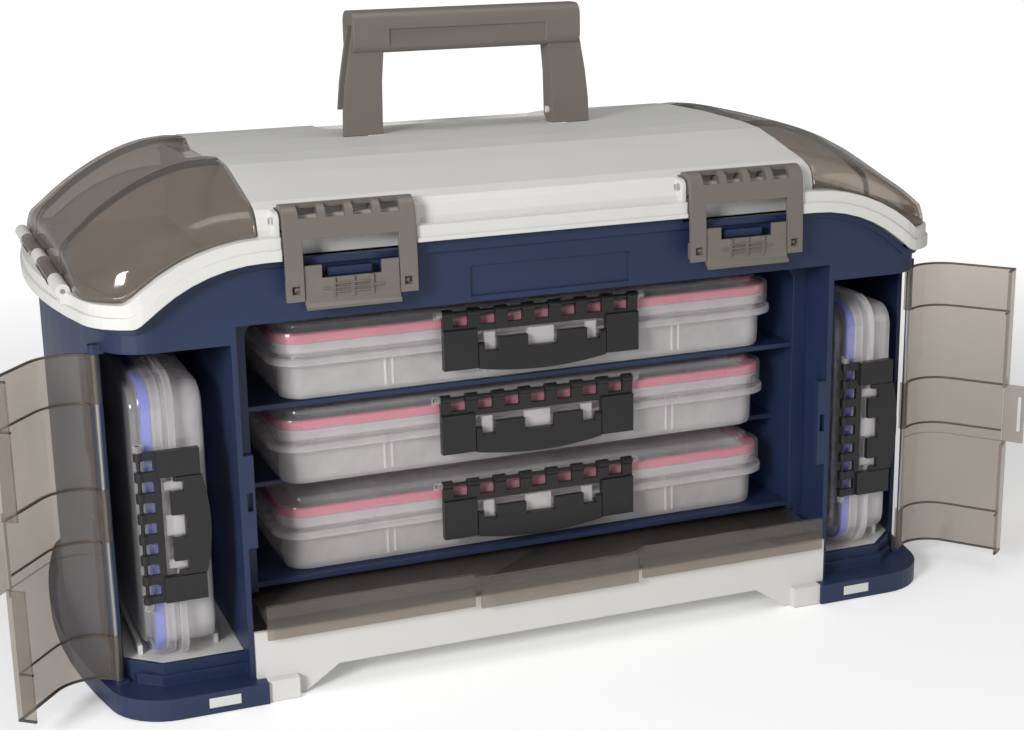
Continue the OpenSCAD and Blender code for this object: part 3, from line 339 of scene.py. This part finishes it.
def repeat_along(name, part, count, step, material):
    """A Geometry Nodes tree that sets copies of a small part in a row and makes them one mesh."""
    tree = bpy.data.node_groups.new(name, "GeometryNodeTree")
    sockets = tree.interface
    sockets.new_socket("Geometry", in_out="INPUT", socket_type="NodeSocketGeometry")
    count_id = sockets.new_socket("Count", in_out="INPUT", socket_type="NodeSocketInt").identifier
    step_id = sockets.new_socket("Step", in_out="INPUT", socket_type="NodeSocketVector").identifier
    sockets.new_socket("Geometry", in_out="OUTPUT", socket_type="NodeSocketGeometry")
    given = add_node(tree, "NodeGroupInput")
    row = add_node(tree, "GeometryNodeMeshLine", {"mode": "OFFSET"},
                   links={"Count": given.outputs["Count"], "Offset": given.outputs["Step"]})
    copies = add_node(tree, "GeometryNodeInstanceOnPoints",
                      links={"Points": row.outputs["Mesh"], "Instance": given.outputs["Geometry"]})
    solid = add_node(tree, "GeometryNodeRealizeInstances",
                     links={"Geometry": copies.outputs["Instances"]})
    dressed = add_node(tree, "GeometryNodeSetMaterial", inputs={"Material": MATERIALS[material]},
                       links={"Geometry": solid.outputs["Geometry"]})
    add_node(tree, "NodeGroupOutput", links={"Geometry": dressed.outputs["Geometry"]})
    mesh = bpy.data.meshes.new(name)
    part.to_mesh(mesh)
    part.free()
    source = bpy.data.objects.new(name, mesh)
    bpy.context.scene.collection.objects.link(source)
    modifier = source.modifiers.new("row", "NODES")
    modifier.node_group = tree
    modifier[count_id], modifier[step_id] = count, step
    bpy.context.view_layer.update()
    graph = bpy.context.evaluated_depsgraph_get()
    made = bpy.data.meshes.new_from_object(source.evaluated_get(graph))
    bpy.data.objects.remove(source)
    return made


def add_row(shape, row, put):
    """Takes a finished row of parts into a piece, put in place like the rest of it."""
    for vert in row.vertices:
        vert.co = Vector(put(tuple(vert.co / MM))) * MM
    row.materials.clear()
    shape.from_mesh(row)
    bpy.data.meshes.remove(row)


# ------------------------------------------------------------------ utility boxes
# A box is drawn lying down: x along it, y from its front ring to the back, z up from its bottom.
# A "drop" is measured down from its top.
LONG_BOX, SIDE_BOX = (355.0, 230.0, 50.0), (184.0, 279.0, 44.5)     # length, depth, height
LONG_DIVIDERS, SIDE_DIVIDERS = 4, 3
RING_RADIUS = 20.0          # plan corner radius at the outermost ring
RADIUS_PER_INSET = 0.7      # and how much of an inset the corner gives up
CORNER_STEPS = 7
DRAWN_HEIGHT = 50.0         # the sections below are drawn for a box of this height
STRETCH_ABOVE = 10.0        # and what lies over this level moves with the height of a box
TUB_IN, TUB_WALL = 7.0, 2.0
RIB_STARTS, RIB_WIDTH = (-3.2, 1.8), 1.4        # a pair of ribs at each divider
RIB_OUT, RIB_THICK, RIB_LOW, RIB_DROP = 0.4, 0.5, 5.0, 26.6
LUG_OUT = 2.1               # the tub's lugs stand this far before its ring
LUG_SPANS, LUG_IN, LUG_DROPS = ((-39, -31.8), (-9, 9), (31.8, 39)), 0.4, (27, 16)
WALL_HALF, WALL_LOW, WALL_DROP = 0.8, 2.1, 16.0     # dividers
LONG_CLASP, SIDE_CLASP = 136.0, 97.0
CLASP_AXIS, CLASP_DROP, CLASP_PIN_R = 2.2, 1.6, 1.2
BORE_FIT = 0.15             # room between a pin and its bore
EYE_OUT, EYE_HALF, EYE_R = 2.3, 2.0, 2.6            # the lid's two eyes for the clasp's pins
EYE_FOOT, EYE_DROPS = (-0.2, 2.4), (5.8, 1)
TUB_SECTION = [             # (inset, height) outside up, over the top, down inside to the floor
    (13, 0), (9.6, 0.3), (8, 1.4), (7.3, 3.6), (7, 8), (7, 23.2), (6.2, 24), (0.7, 24), (0, 24.7),
    (0, 28.3), (0.7, 29), (6.6, 29), (7, 29.4), (7, 35.8), (3.9, 36.2), (3.7, 37.6), (8.6, 38),
    (9, 37.6), (9, 8), (9.4, 4.2), (10.6, 2.4), (14, 2)]
LID_SECTION = [             # underside of the top, down inside the skirt, up outside to the top
    (12.5, 48), (11.5, 47.5), (11.2, 44.4), (10.5, 44), (4.4, 44), (3.5, 43.2), (3.5, 32.5),
    (3, 32), (2, 32), (1.5, 32.5), (1.5, 44.4), (2, 45.4), (3.2, 46), (8.3, 46.2), (9.2, 46.8),
    (9.5, 48.8), (10.3, 49.8), (12, 50)]
SEAL_SECTION = [(3.9, 38.2), (3.7, 39), (3.7, 43.3), (4.1, 43.9), (6.2, 43.9), (6.6, 43.3),
                (6.6, 39), (6.2, 38.2)]


def loft_box(shape, section, size, put, closed=False):
    """Carries a section round the rounded plan of a box: capped at both ends, or a ring."""
    length, depth, height = size
    rings = []
    for inset, level in section:
        r = RING_RADIUS - RADIUS_PER_INSET * inset
        x, y = length / 2 - inset - r, depth / 2 - inset - r
        plan = (arc(x, y, r, 0, 90, CORNER_STEPS) + arc(-x, y, r, 90, 180, CORNER_STEPS)
                + arc(-x, -y, r, 180, 270, CORNER_STEPS) + arc(x, -y, r, 270, 360, CORNER_STEPS))
        z = level + (height - DRAWN_HEIGHT if level > STRETCH_ABOVE else 0)
        rings.append([add_vert(shape, put((px, py + depth / 2, z))) for px, py in plan])
    skin_rings(shape, rings, closed)
    if not closed:
        shape.faces.new(rings[0][::-1])
        shape.faces.new(rings[-1])


def box_tub(label, size, put, k, dividers):
    """Milky tub with a pair of ribs at each divider, front and back, and three lugs in front."""
    length, depth, height = size
    room = length - 2 * (TUB_IN + TUB_WALL)
    bay = room / (dividers + 1)
    tub = bmesh.new()
    loft_box(tub, TUB_SECTION, size, put)
    for wall_y in (TUB_IN - RIB_OUT, depth - TUB_IN - RIB_THICK + RIB_OUT):
        pair = bmesh.new()
        for start in RIB_STARTS:
            x = start - room / 2 + bay
            add_block(pair, x, x + RIB_WIDTH, wall_y, wall_y + RIB_THICK, RIB_LOW, height - RIB_DROP)
        row = repeat_along("tub_ribs", pair, dividers, (bay * MM, 0, 0), "clear_plastic")
        add_row(tub, row, put)
    for x0, x1 in LUG_SPANS:
        add_block(tub, x0 * k, x1 * k, -LUG_OUT, LUG_IN, height - LUG_DROPS[0], height - LUG_DROPS[1],
                  put=put)
    finish_piece(f"{label}_clear_tub", tub, "milky_tub", label, (f"{label}_tub",))


def box_dividers(label, size, put, dividers):
    """One long wall down the middle, crossed by the dividers."""
    length, depth, height = size
    room = length - 2 * (TUB_IN + TUB_WALL)
    bay = room / (dividers + 1)
    near, far, mid = TUB_IN + TUB_WALL, depth - TUB_IN - TUB_WALL, depth / 2
    high = height - WALL_DROP
    walls = bmesh.new()
    add_block(walls, -room / 2, room / 2, mid - WALL_HALF, mid + WALL_HALF, WALL_LOW, high, put=put)
    for i in range(1, dividers + 1):
        x = -room / 2 + bay * i
        for y0, y1 in ((near, mid - WALL_HALF), (mid + WALL_HALF, far)):
            add_block(walls, x - WALL_HALF, x + WALL_HALF, y0, y1, WALL_LOW, high, put=put)
    finish_piece(f"{label}_clear_dividers", walls, "clear_plastic", label, (f"{label}_dividers",))


def box_lid(label, size, put, k):
    """Clear lid with a skirt, and an eye at each end of the clasp."""
    height = size[2]
    lid = bmesh.new()
    loft_box(lid, LID_SECTION, size, put)
    for side in (-1, 1):
        x = side * (LONG_CLASP * k / 2 + EYE_OUT)
        add_tube(lid, (-CLASP_AXIS, height - CLASP_DROP), EYE_R, CLASP_PIN_R + BORE_FIT, "x",
                 x - EYE_HALF, x + EYE_HALF, put)
        add_block(lid, x - EYE_HALF, x + EYE_HALF, EYE_FOOT[0], EYE_FOOT[1], height - EYE_DROPS[0],
                  height - EYE_DROPS[1], put=put)
    finish_piece(f"{label}_clear_lid", lid, "clear_plastic", label, (f"{label}_lid",))


def utility_box(label, size, put, k, dividers):
    """Tub, dividers, coloured seal, lid, clasp and lever. k is the clasp's length as a share of
    the long boxes' clasp, and the lugs keep to it."""
    box_tub(label, size, put, k, dividers)
    box_dividers(label, size, put, dividers)
    seal = bmesh.new()
    loft_box(seal, SEAL_SECTION, size, put, closed=True)
    finish_piece(f"{label}_seal", seal, slot_of[f"{label}_gasket"], label, (f"{label}_gasket",))
    box_lid(label, size, put, k)
    rounded_copy(f"{label}_clasp", f"{label}_clasp", bevel=0.45)
    rounded_copy(f"{label}_lever", f"{label}_lever", bevel=0.45)


def long_place(label):
    """The long boxes lie on the rack as they are drawn."""
    low, _ = corner_of(f"{label}_tub")

    def put(p):
        return (p[0], p[1] + low[1] + LUG_OUT, p[2] + low[2])

    return put


def side_place(label):
    """The side boxes stand on edge, with their length upright and their bottom towards the right."""
    low, high = corner_of(f"{label}_tub")
    middle = (low[2] + high[2]) / 2

    def put(p):
        return (high[0] - p[2], p[1] + low[1] + LUG_OUT, middle + p[0])

    return put


for box_label in ("box1", "box2", "box3"):
    utility_box(box_label, LONG_BOX, long_place(box_label), 1.0, LONG_DIVIDERS)
for box_label in ("box_left", "box_right"):
    utility_box(box_label, SIDE_BOX, side_place(box_label), SIDE_CLASP / LONG_CLASP, SIDE_DIVIDERS)


# ------------------------------------------------------------------ smoke end covers
COVER_IN, COVER_END, COVER_Y, COVER_R, COVER_WALL = 188.1, 290.4, 154.0, 36.0, 2.0
COVER_STEPS, COVER_DROPS = 26, 6    # grid steps along x, and rows down the skirt
LOW_OUT, LOW_Y_OUT = 1.2, 3.0       # how far the lower edge stands out from the upper one
LOW_GAP = 0.9                       # and how far it stays over the lip line
GROOVE_Y, GROOVE_DEPTH = 60.0, 2.4
GROOVE_HALF, GROOVE_DARK = 1.6, 1.2     # half widths: of the groove, and of its dark floor
DARK_BAND = 2.0                     # a groove's dark line runs on down the last of the end
SCOOP_Y, SCOOP_X, SCOOP_DEPTH, SCOOP_EDGE = 48.0, 26.0, 6.0, 12.0
PIN_X, PIN_Z, BARREL_R, PIN_R = 296.5, 262.0, 4.6, 1.5
BARREL_SPANS = ((-72, -14), (14, 72))
FOOT_IN, FOOT_OVER, FOOT_BELOW = 0.5, 1.0, 0.3      # what a barrel's foot overlaps or drops
LIP_Z, ARC_X, ARC_R, SLOPE, FOOT_R, FLAT_Z, RIM_H = 279.5, 185.0, 105.0, 38.0, 9.0, 246.8, 14.5
DOME_X = [(187.5, 328.5), (198, 329), (217.5, 326.6), (242, 317.5), (267, 302.6), (279, 292.8),
          (288, 285), (291.8, 275.7)]
FALL_Y = [(0, 0), (55, 0.8), (82, 2.5), (103, 7), (125, 12.5), (142, 16.5), (150, 20), (154, 24)]


def lip_height(x, above):
    """Height of the line between case and lid: level, arc, slope, small arc, level."""
    slope, radius = math.radians(SLOPE), ARC_R + above
    if x < ARC_X:
        return LIP_Z + above
    end_x = ARC_X + radius * math.sin(slope)
    if x < end_x:
        return LIP_Z - ARC_R + math.sqrt(radius**2 - (x - ARC_X)**2)
    end_z = LIP_Z - ARC_R + radius * math.cos(slope)
    foot_z = FLAT_Z + above + FOOT_R * (1 - math.cos(slope))
    foot_x = end_x + (end_z - foot_z) / math.tan(slope)
    if x < foot_x:
        return end_z - (x - end_x) * math.tan(slope)
    centre = foot_x + FOOT_R * math.sin(slope)
    if x < centre:
        return FLAT_Z + above + FOOT_R - math.sqrt(max(0.0, FOOT_R**2 - (centre - x)**2))
    return FLAT_Z + above


def cover_lines():
    """The lines of the grid along Y, closer together at the two grooves."""
    half = [0, 12, 24, 34, 42, 48, 53, 58.4, 59.3, 60.7, 61.6, 68, 78, 90, 102, 112, 118, 124, 130,
            136, 141, 145, 148.5, 151, 153, COVER_Y]
    return [-y for y in half[:0:-1]] + half


def groove(y):
    """Depth of the two grooves at a place along Y."""
    return GROOVE_DEPTH * max(0.0, 1 - abs(abs(y) - GROOVE_Y) / GROOVE_HALF) ** 0.5


def in_groove(y0, y1):
    """Whether the middle of a face from y0 to y1 lies in the dark floor of a groove."""
    return abs(abs(y0 + y1) / 2 - GROOVE_Y) < GROOVE_DARK


def cover_top(x, y):
    """Height of the dome, with its grooves and the thumb scoop at its inner edge."""
    scoop = (SCOOP_DEPTH * ease((COVER_IN + SCOOP_X - x) / SCOOP_X)
             * ease((SCOOP_Y - abs(y)) / SCOOP_EDGE))
    return lookup(DOME_X, x) - lookup(FALL_Y, abs(y)) - groove(y) - scoop


def cover_reach(y):
    """How far out the dome goes at a place along Y, with its outer corners rounded."""
    past = max(0.0, abs(y) - (COVER_Y - COVER_R))
    return COVER_END - COVER_R + math.sqrt(max(0.0, COVER_R**2 - past**2))


def lower_edge(x, y):
    """Where the point of the upper edge has its lower one: out a little, down to the lip line."""
    out_x = LOW_OUT * ease((x - COVER_IN) / (COVER_END - COVER_IN))
    out_y = math.copysign(LOW_Y_OUT * ease(abs(y) / COVER_Y), y)
    low_x, low_y = x + out_x, y + out_y
    return low_x, low_y, lip_height(low_x, RIM_H) + LOW_GAP


def cover_dome(side, label):
    """Smooth dome with two grooves and a thumb scoop, and a skirt on its three free sides."""
    shape, lines = bmesh.new(), cover_lines()

    def at(x, y, z):
        return add_vert(shape, (side * x, y, z))

    grid = []
    for y in lines:
        reach = cover_reach(y) - COVER_IN
        xs = [COVER_IN + reach * (i / COVER_STEPS) for i in range(COVER_STEPS + 1)]
        grid.append([at(x, y, cover_top(x, y)) for x in xs])
    for (y0, low), (y1, high) in zip(zip(lines, grid), list(zip(lines, grid))[1:]):
        for i in range(COVER_STEPS):
            face = shape.faces.new((low[i], low[i + 1], high[i + 1], high[i]))
            face.material_index = 1 if in_groove(y0, y1) else 0
    rim = grid[0][:-1] + [row[-1] for row in grid] + grid[-1][:-1][::-1]
    previous = rim
    starts = [(side * v.co.x / MM, v.co.y / MM, v.co.z / MM) for v in rim]
    for drop in range(1, COVER_DROPS + 1):
        t, ring = drop / COVER_DROPS, []
        bow = math.sin(math.pi * t / 2)
        for x, y, z in starts:
            low_x, low_y, low_z = lower_edge(x, y)
            ring.append(at(x + (low_x - x) * bow, y + (low_y - y) * bow, z + (low_z - z) * t))
        for i in range(len(rim) - 1):
            face = shape.faces.new((previous[i], previous[i + 1], ring[i + 1], ring[i]))
            on_end = starts[i][0] > COVER_END - DARK_BAND
            face.material_index = 1 if on_end and in_groove(starts[i][1], starts[i + 1][1]) else 0
        previous = ring
    finish_piece(f"{label}_dome", shape, "smoke_plastic", label, (label,), "smoke_edge",
                 wall=COVER_WALL)


def cover_barrels(side, label):
    """Two bored barrels along the outer end, each with a foot that joins it to the dome."""
    barrels = bmesh.new()
    for near, far in BARREL_SPANS:
        add_tube(barrels, (side * PIN_X, PIN_Z), BARREL_R, PIN_R + BORE_FIT, "y", near, far)
        x0, x1 = sorted((side * (COVER_END - FOOT_IN), side * (PIN_X - BARREL_R + FOOT_OVER)))
        add_block(barrels, x0, x1, near, far, PIN_Z - FOOT_BELOW, PIN_Z + BARREL_R)
    finish_piece(f"{label}_barrels", barrels, "smoke_plastic", label, bevel=0.3)


for cover_side, cover_label in ((-1, "end_cover_left"), (1, "end_cover_right")):
    cover_dome(cover_side, cover_label)
    cover_barrels(cover_side, cover_label)


# ------------------------------------------------------------------ smoke side doors
# A door is drawn closed and on the right, turned open about its pin by DOOR_TURN, and mirrored
# where it is the left one.
DOOR_PIN_X, DOOR_PIN_Y, DOOR_R, DOOR_WALL = 284.5, -128.0, 26.0, 2.0
DOOR_SIDE_OUT, DOOR_CORNER_STEPS = 0.5, 12      # the side of the door past its pin
DOOR_TAB = 4.0                                  # the door starts this far before its pin
DOOR_FACE, DOOR_FREE, DOOR_RETURN, DOOR_TURN = -158.0, 217.0, 12.0, 128.0
DOOR_LOW, DOOR_HIGH, DOOR_BARREL = 16.0, 227.0, 2.8
DOOR_EDGE = 1.2                                 # height of the dark edges, top and bottom
RAIL_OUT, RAIL_HALF = 0.9, 0.7                  # the raised rails inside the door
NOTCH_X, NOTCH_LOW, NOTCH_HIGH = 220.8, 99.7, 142.3
DOOR_BANDS = ((16.0, 46.0), (108.0, 142.0), (196.0, 227.0))
DOOR_FOOT_X, DOOR_FOOT_Y = (-1.5, 0.5), (-5.0, -2.2)    # what joins a barrel to the door


def door_path(inset, notched=False):
    """Plan of the closed door from its hinge round the corner to the return at its free edge, or
    only as far as the notch for the latch flap."""
    side_x, centre = DOOR_PIN_X + DOOR_SIDE_OUT, DOOR_FACE + DOOR_R
    return ([(side_x - inset, DOOR_PIN_Y - DOOR_TAB)]
            + arc(side_x - DOOR_R, centre, DOOR_R - inset, 0, -90, DOOR_CORNER_STEPS)
            + ([(NOTCH_X, DOOR_FACE + inset)] if notched else
               [(DOOR_FREE + inset, DOOR_FACE + inset),
                (DOOR_FREE + inset, DOOR_FACE + DOOR_RETURN)]))


def door_strip(shape, inset, thick, z0, z1, put, material=0, notched=False):
    """A strip along the door, from inset to inset + thick, between two heights."""
    outline = door_path(inset, notched) + door_path(inset + thick, notched)[::-1]
    add_prism(shape, outline, "z", z0, z1, material, put)


def side_door(side, label):
    """Bowed clear door with dark edges, raised rails at its bands, and hinge barrels."""
    turn = math.radians(DOOR_TURN)

    def put(p):
        x, y = p[0] - DOOR_PIN_X, p[1] - DOOR_PIN_Y
        return (side * (DOOR_PIN_X + x * math.cos(turn) - y * math.sin(turn)),
                DOOR_PIN_Y + x * math.sin(turn) + y * math.cos(turn), p[2])

    door = bmesh.new()
    door_strip(door, 0, DOOR_WALL, DOOR_LOW + DOOR_EDGE, NOTCH_LOW, put)
    door_strip(door, 0, DOOR_WALL, NOTCH_LOW, NOTCH_HIGH, put, notched=True)
    door_strip(door, 0, DOOR_WALL, NOTCH_HIGH, DOOR_HIGH - DOOR_EDGE, put)
    for z0, z1 in ((DOOR_LOW, DOOR_LOW + DOOR_EDGE), (DOOR_HIGH - DOOR_EDGE, DOOR_HIGH)):
        door_strip(door, 0, DOOR_WALL, z0, z1, put, 1)
    for level in (DOOR_BANDS[0][1], DOOR_BANDS[1][0], DOOR_BANDS[1][1], DOOR_BANDS[2][0]):
        door_strip(door, DOOR_WALL, RAIL_OUT, level - RAIL_HALF, level + RAIL_HALF, put, 1,
                   NOTCH_LOW < level < NOTCH_HIGH)
    for z0, z1 in DOOR_BANDS:
        add_tube(door, (DOOR_PIN_X, DOOR_PIN_Y), DOOR_BARREL, PIN_R + BORE_FIT, "z", z0, z1, put)
        add_block(door, DOOR_PIN_X + DOOR_FOOT_X[0], DOOR_PIN_X + DOOR_FOOT_X[1],
                  DOOR_PIN_Y + DOOR_FOOT_Y[0], DOOR_PIN_Y + DOOR_FOOT_Y[1], z0, z1, 0, put)
    finish_piece(f"{label}_panel", door, "smoke_plastic", label, (label,), "smoke_edge", bevel=0.2)


side_door(-1, "side_door_left")
side_door(1, "side_door_right")


# ------------------------------------------------------------------ latches, handle and trim
LEVER_FACE = 2.9                    # the lever's face lies this far behind its foremost point
LEVER_RIB_HALVES = (13, 19, 13)
LEVER_RIB_FIRST, LEVER_RIB_STEP, LEVER_RIB_HEIGHT = 9.0, 2.6, 0.9
LEVER_RIB_OUT, LEVER_RIB_SUNK = 0.7, 1.2
WINDOW_SPANS, WINDOW_LOW, WINDOW_HIGH = ((-236, -216), (216, 236)), 4.0, 10.5
WINDOW_OUT, WINDOW_SUNK = 0.15, 0.5


def lever_ribs(end):
    """Three level ribs across the lower part of a latch lever, the middle one longest."""
    low, high = corner_of(f"latch_lever_{end}")
    middle, face = (low[0] + high[0]) / 2, low[1] + LEVER_FACE
    ribs = bmesh.new()
    for i, half in enumerate(LEVER_RIB_HALVES):
        z = low[2] + LEVER_RIB_FIRST + LEVER_RIB_STEP * i
        add_block(ribs, middle - half, middle + half, face - LEVER_RIB_OUT, face + LEVER_RIB_SUNK,
                  z, z + LEVER_RIB_HEIGHT)
    finish_piece(f"latch_lever_{end}_ribs", ribs, "taupe_plastic", f"latch_lever_{end}", bevel=0.25)


def rail_windows():
    """Small pale windows in the front faces of the blue foot rails."""
    low, _ = corner_of("case_shell")
    inlay = bmesh.new()
    for x0, x1 in WINDOW_SPANS:
        add_block(inlay, x0, x1, low[1] - WINDOW_OUT, low[1] + WINDOW_SUNK, WINDOW_LOW, WINDOW_HIGH)
    finish_piece("foot_rail_windows", inlay, "pale_grey", "case", bevel=0.1)


for end in ("left", "right"):
    rounded_copy(f"latch_plate_{end}", f"latch_plate_{end}", bevel=0.5)
    rounded_copy(f"latch_lever_{end}", f"latch_lever_{end}", bevel=0.4)
    rounded_copy(f"side_door_flap_{end}", f"side_door_flap_{end}", bevel=0.2)
rounded_copy("handle_frame", "handle", bevel=0.8)
rounded_copy("handle_grip", "handle", bevel=1.6)
rounded_copy("front_door", "front_door", bevel=0.4)
rounded_copy("front_door_flap", "front_door_flap", bevel=0.3)
lever_ribs("left")
lever_ribs("right")
rail_windows()


# ------------------------------------------------------------------ studio
FLOOR_HALF, FLOOR_UNDER = 14.0, 0.0004      # metres
FLOOR_LIFT = 0.20           # a white floor to the camera, over what the lamps leave short
FAR_LIFT = 0.85             # the same far from the cabinet, where the lamps fall off
LIFT_NEAR, LIFT_FAR = 0.6, 1.6              # metres from the cabinet between the two
SKY_LIGHT, SKY_SEEN = 0.22, 1.0             # the world as a light, and as the camera sees it
LAMPS = {                   # place, what it is aimed at, size in metres, watts
    "key": ((-1.7, -1.5, 0.95), (0, 0, 0.2), (0.6, 0.6), 44),
    "top": ((0.1, -0.4, 2.2), (0, 0, 0.3), (1.4, 1.0), 12),
    "fill": ((1.7, -1.4, 0.9), (0, 0, 0.2), (0.9, 1.1), 5),
}
AZIMUTH, ELEVATION, ROLL = 21.048, 15.104, 1.008    # the camera's, in degrees
EYE_AT = (-417.0, -1166.3, 490.0)
SENSOR, LENS, CLIP_END = 36.0, 62.06, 100
CLEAR_WALLS = 32            # how many clear surfaces a ray may pass on its way


def studio_floor():
    """White floor that takes shadows, lifted to white for the camera."""
    mesh = bpy.data.meshes.new("studio_floor")
    corners = [(-1, -1), (1, -1), (1, 1), (-1, 1)]
    mesh.from_pydata([(x * FLOOR_HALF, y * FLOOR_HALF, -FLOOR_UNDER) for x, y in corners], [],
                     [(0, 1, 2, 3)])
    floor = bpy.data.objects.new("studio_floor", mesh)
    bpy.context.scene.collection.objects.link(floor)
    material, tree = new_material("studio_floor")
    shader = add_node(tree, "ShaderNodeBsdfPrincipled",
                      inputs={"Base Color": (0.94, 0.94, 0.94, 1), "Roughness": 0.9,
                              "Specular IOR Level": 0.1})
    sight = add_node(tree, "ShaderNodeLightPath")
    place = add_node(tree, "ShaderNodeTexCoord")
    reach = add_node(tree, "ShaderNodeVectorMath", {"operation": "LENGTH"},
                     links={0: place.outputs["Object"]})
    short = add_node(tree, "ShaderNodeMapRange",
                     inputs={"From Min": LIFT_NEAR, "From Max": LIFT_FAR, "To Min": FLOOR_LIFT,
                             "To Max": FAR_LIFT}, links={"Value": reach.outputs["Value"]})
    lift = add_node(tree, "ShaderNodeMath", {"operation": "MULTIPLY"},
                    links={0: sight.outputs["Is Camera Ray"], 1: short.outputs["Result"]})
    glow = add_node(tree, "ShaderNodeEmission", links={"Strength": lift.outputs["Value"]})
    both = add_node(tree, "ShaderNodeAddShader",
                    links={0: shader.outputs["BSDF"], 1: glow.outputs["Emission"]})
    add_node(tree, "ShaderNodeOutputMaterial", links={"Surface": both.outputs["Shader"]})
    mesh.materials.append(material)


def studio_sky():
    """White to the camera and through clear plastic, and a weak light all round."""
    world = bpy.data.worlds.new("studio")
    bpy.context.scene.world = world
    world.use_nodes = True
    tree = world.node_tree
    tree.nodes.clear()
    rays = add_node(tree, "ShaderNodeLightPath")
    seen = add_node(tree, "ShaderNodeMath", {"operation": "MAXIMUM"},
                    links={0: rays.outputs["Is Camera Ray"], 1: rays.outputs["Is Transmission Ray"]})
    level = add_node(tree, "ShaderNodeMapRange", inputs={"To Min": SKY_LIGHT, "To Max": SKY_SEEN},
                     links={"Value": seen.outputs["Value"]})
    sky = add_node(tree, "ShaderNodeBackground", inputs={"Color": (1, 1, 1, 1)},
                   links={"Strength": level.outputs["Result"]})
    add_node(tree, "ShaderNodeOutputWorld", links={"Surface": sky.outputs["Background"]})


def lamp(name, place, target, size, power):
    """An area lamp aimed at a point."""
    data = bpy.data.lights.new(name, "AREA")
    data.shape, data.size, data.size_y = "RECTANGLE", size[0], size[1]
    data.energy = power
    light = bpy.data.objects.new(name, data)
    light.location = place
    light.rotation_euler = (Vector(target) - Vector(place)).to_track_quat("-Z", "Y").to_euler()
    bpy.context.scene.collection.objects.link(light)


def camera():
    """The photograph's viewpoint, from the vanishing lines of the case and its 355 mm boxes."""
    azimuth, elevation, roll = (math.radians(angle) for angle in (AZIMUTH, ELEVATION, ROLL))
    data = bpy.data.cameras.new("camera")
    data.sensor_width, data.lens, data.clip_end = SENSOR, LENS, CLIP_END
    eye = bpy.data.objects.new("camera", data)
    forward = Vector((math.sin(azimuth) * math.cos(elevation),
                      math.cos(azimuth) * math.cos(elevation), -math.sin(elevation)))
    eye.location = Vector(EYE_AT) * MM
    eye.rotation_mode = "QUATERNION"
    turn = Matrix.Rotation(roll, 3, forward).to_quaternion()
    eye.rotation_quaternion = turn @ forward.to_track_quat("-Z", "Y")
    bpy.context.scene.collection.objects.link(eye)
    bpy.context.scene.camera = eye


camera()
studio_floor()
studio_sky()
# a strong small lamp from the left, a broad one from above and a weak one from the right
for lamp_name, (lamp_place, lamp_target, lamp_size, watts) in LAMPS.items():
    lamp(lamp_name, lamp_place, lamp_target, lamp_size, watts)
bpy.context.scene.view_settings.view_transform = "Standard"
bpy.context.scene.cycles.transparent_max_bounces = CLEAR_WALLS
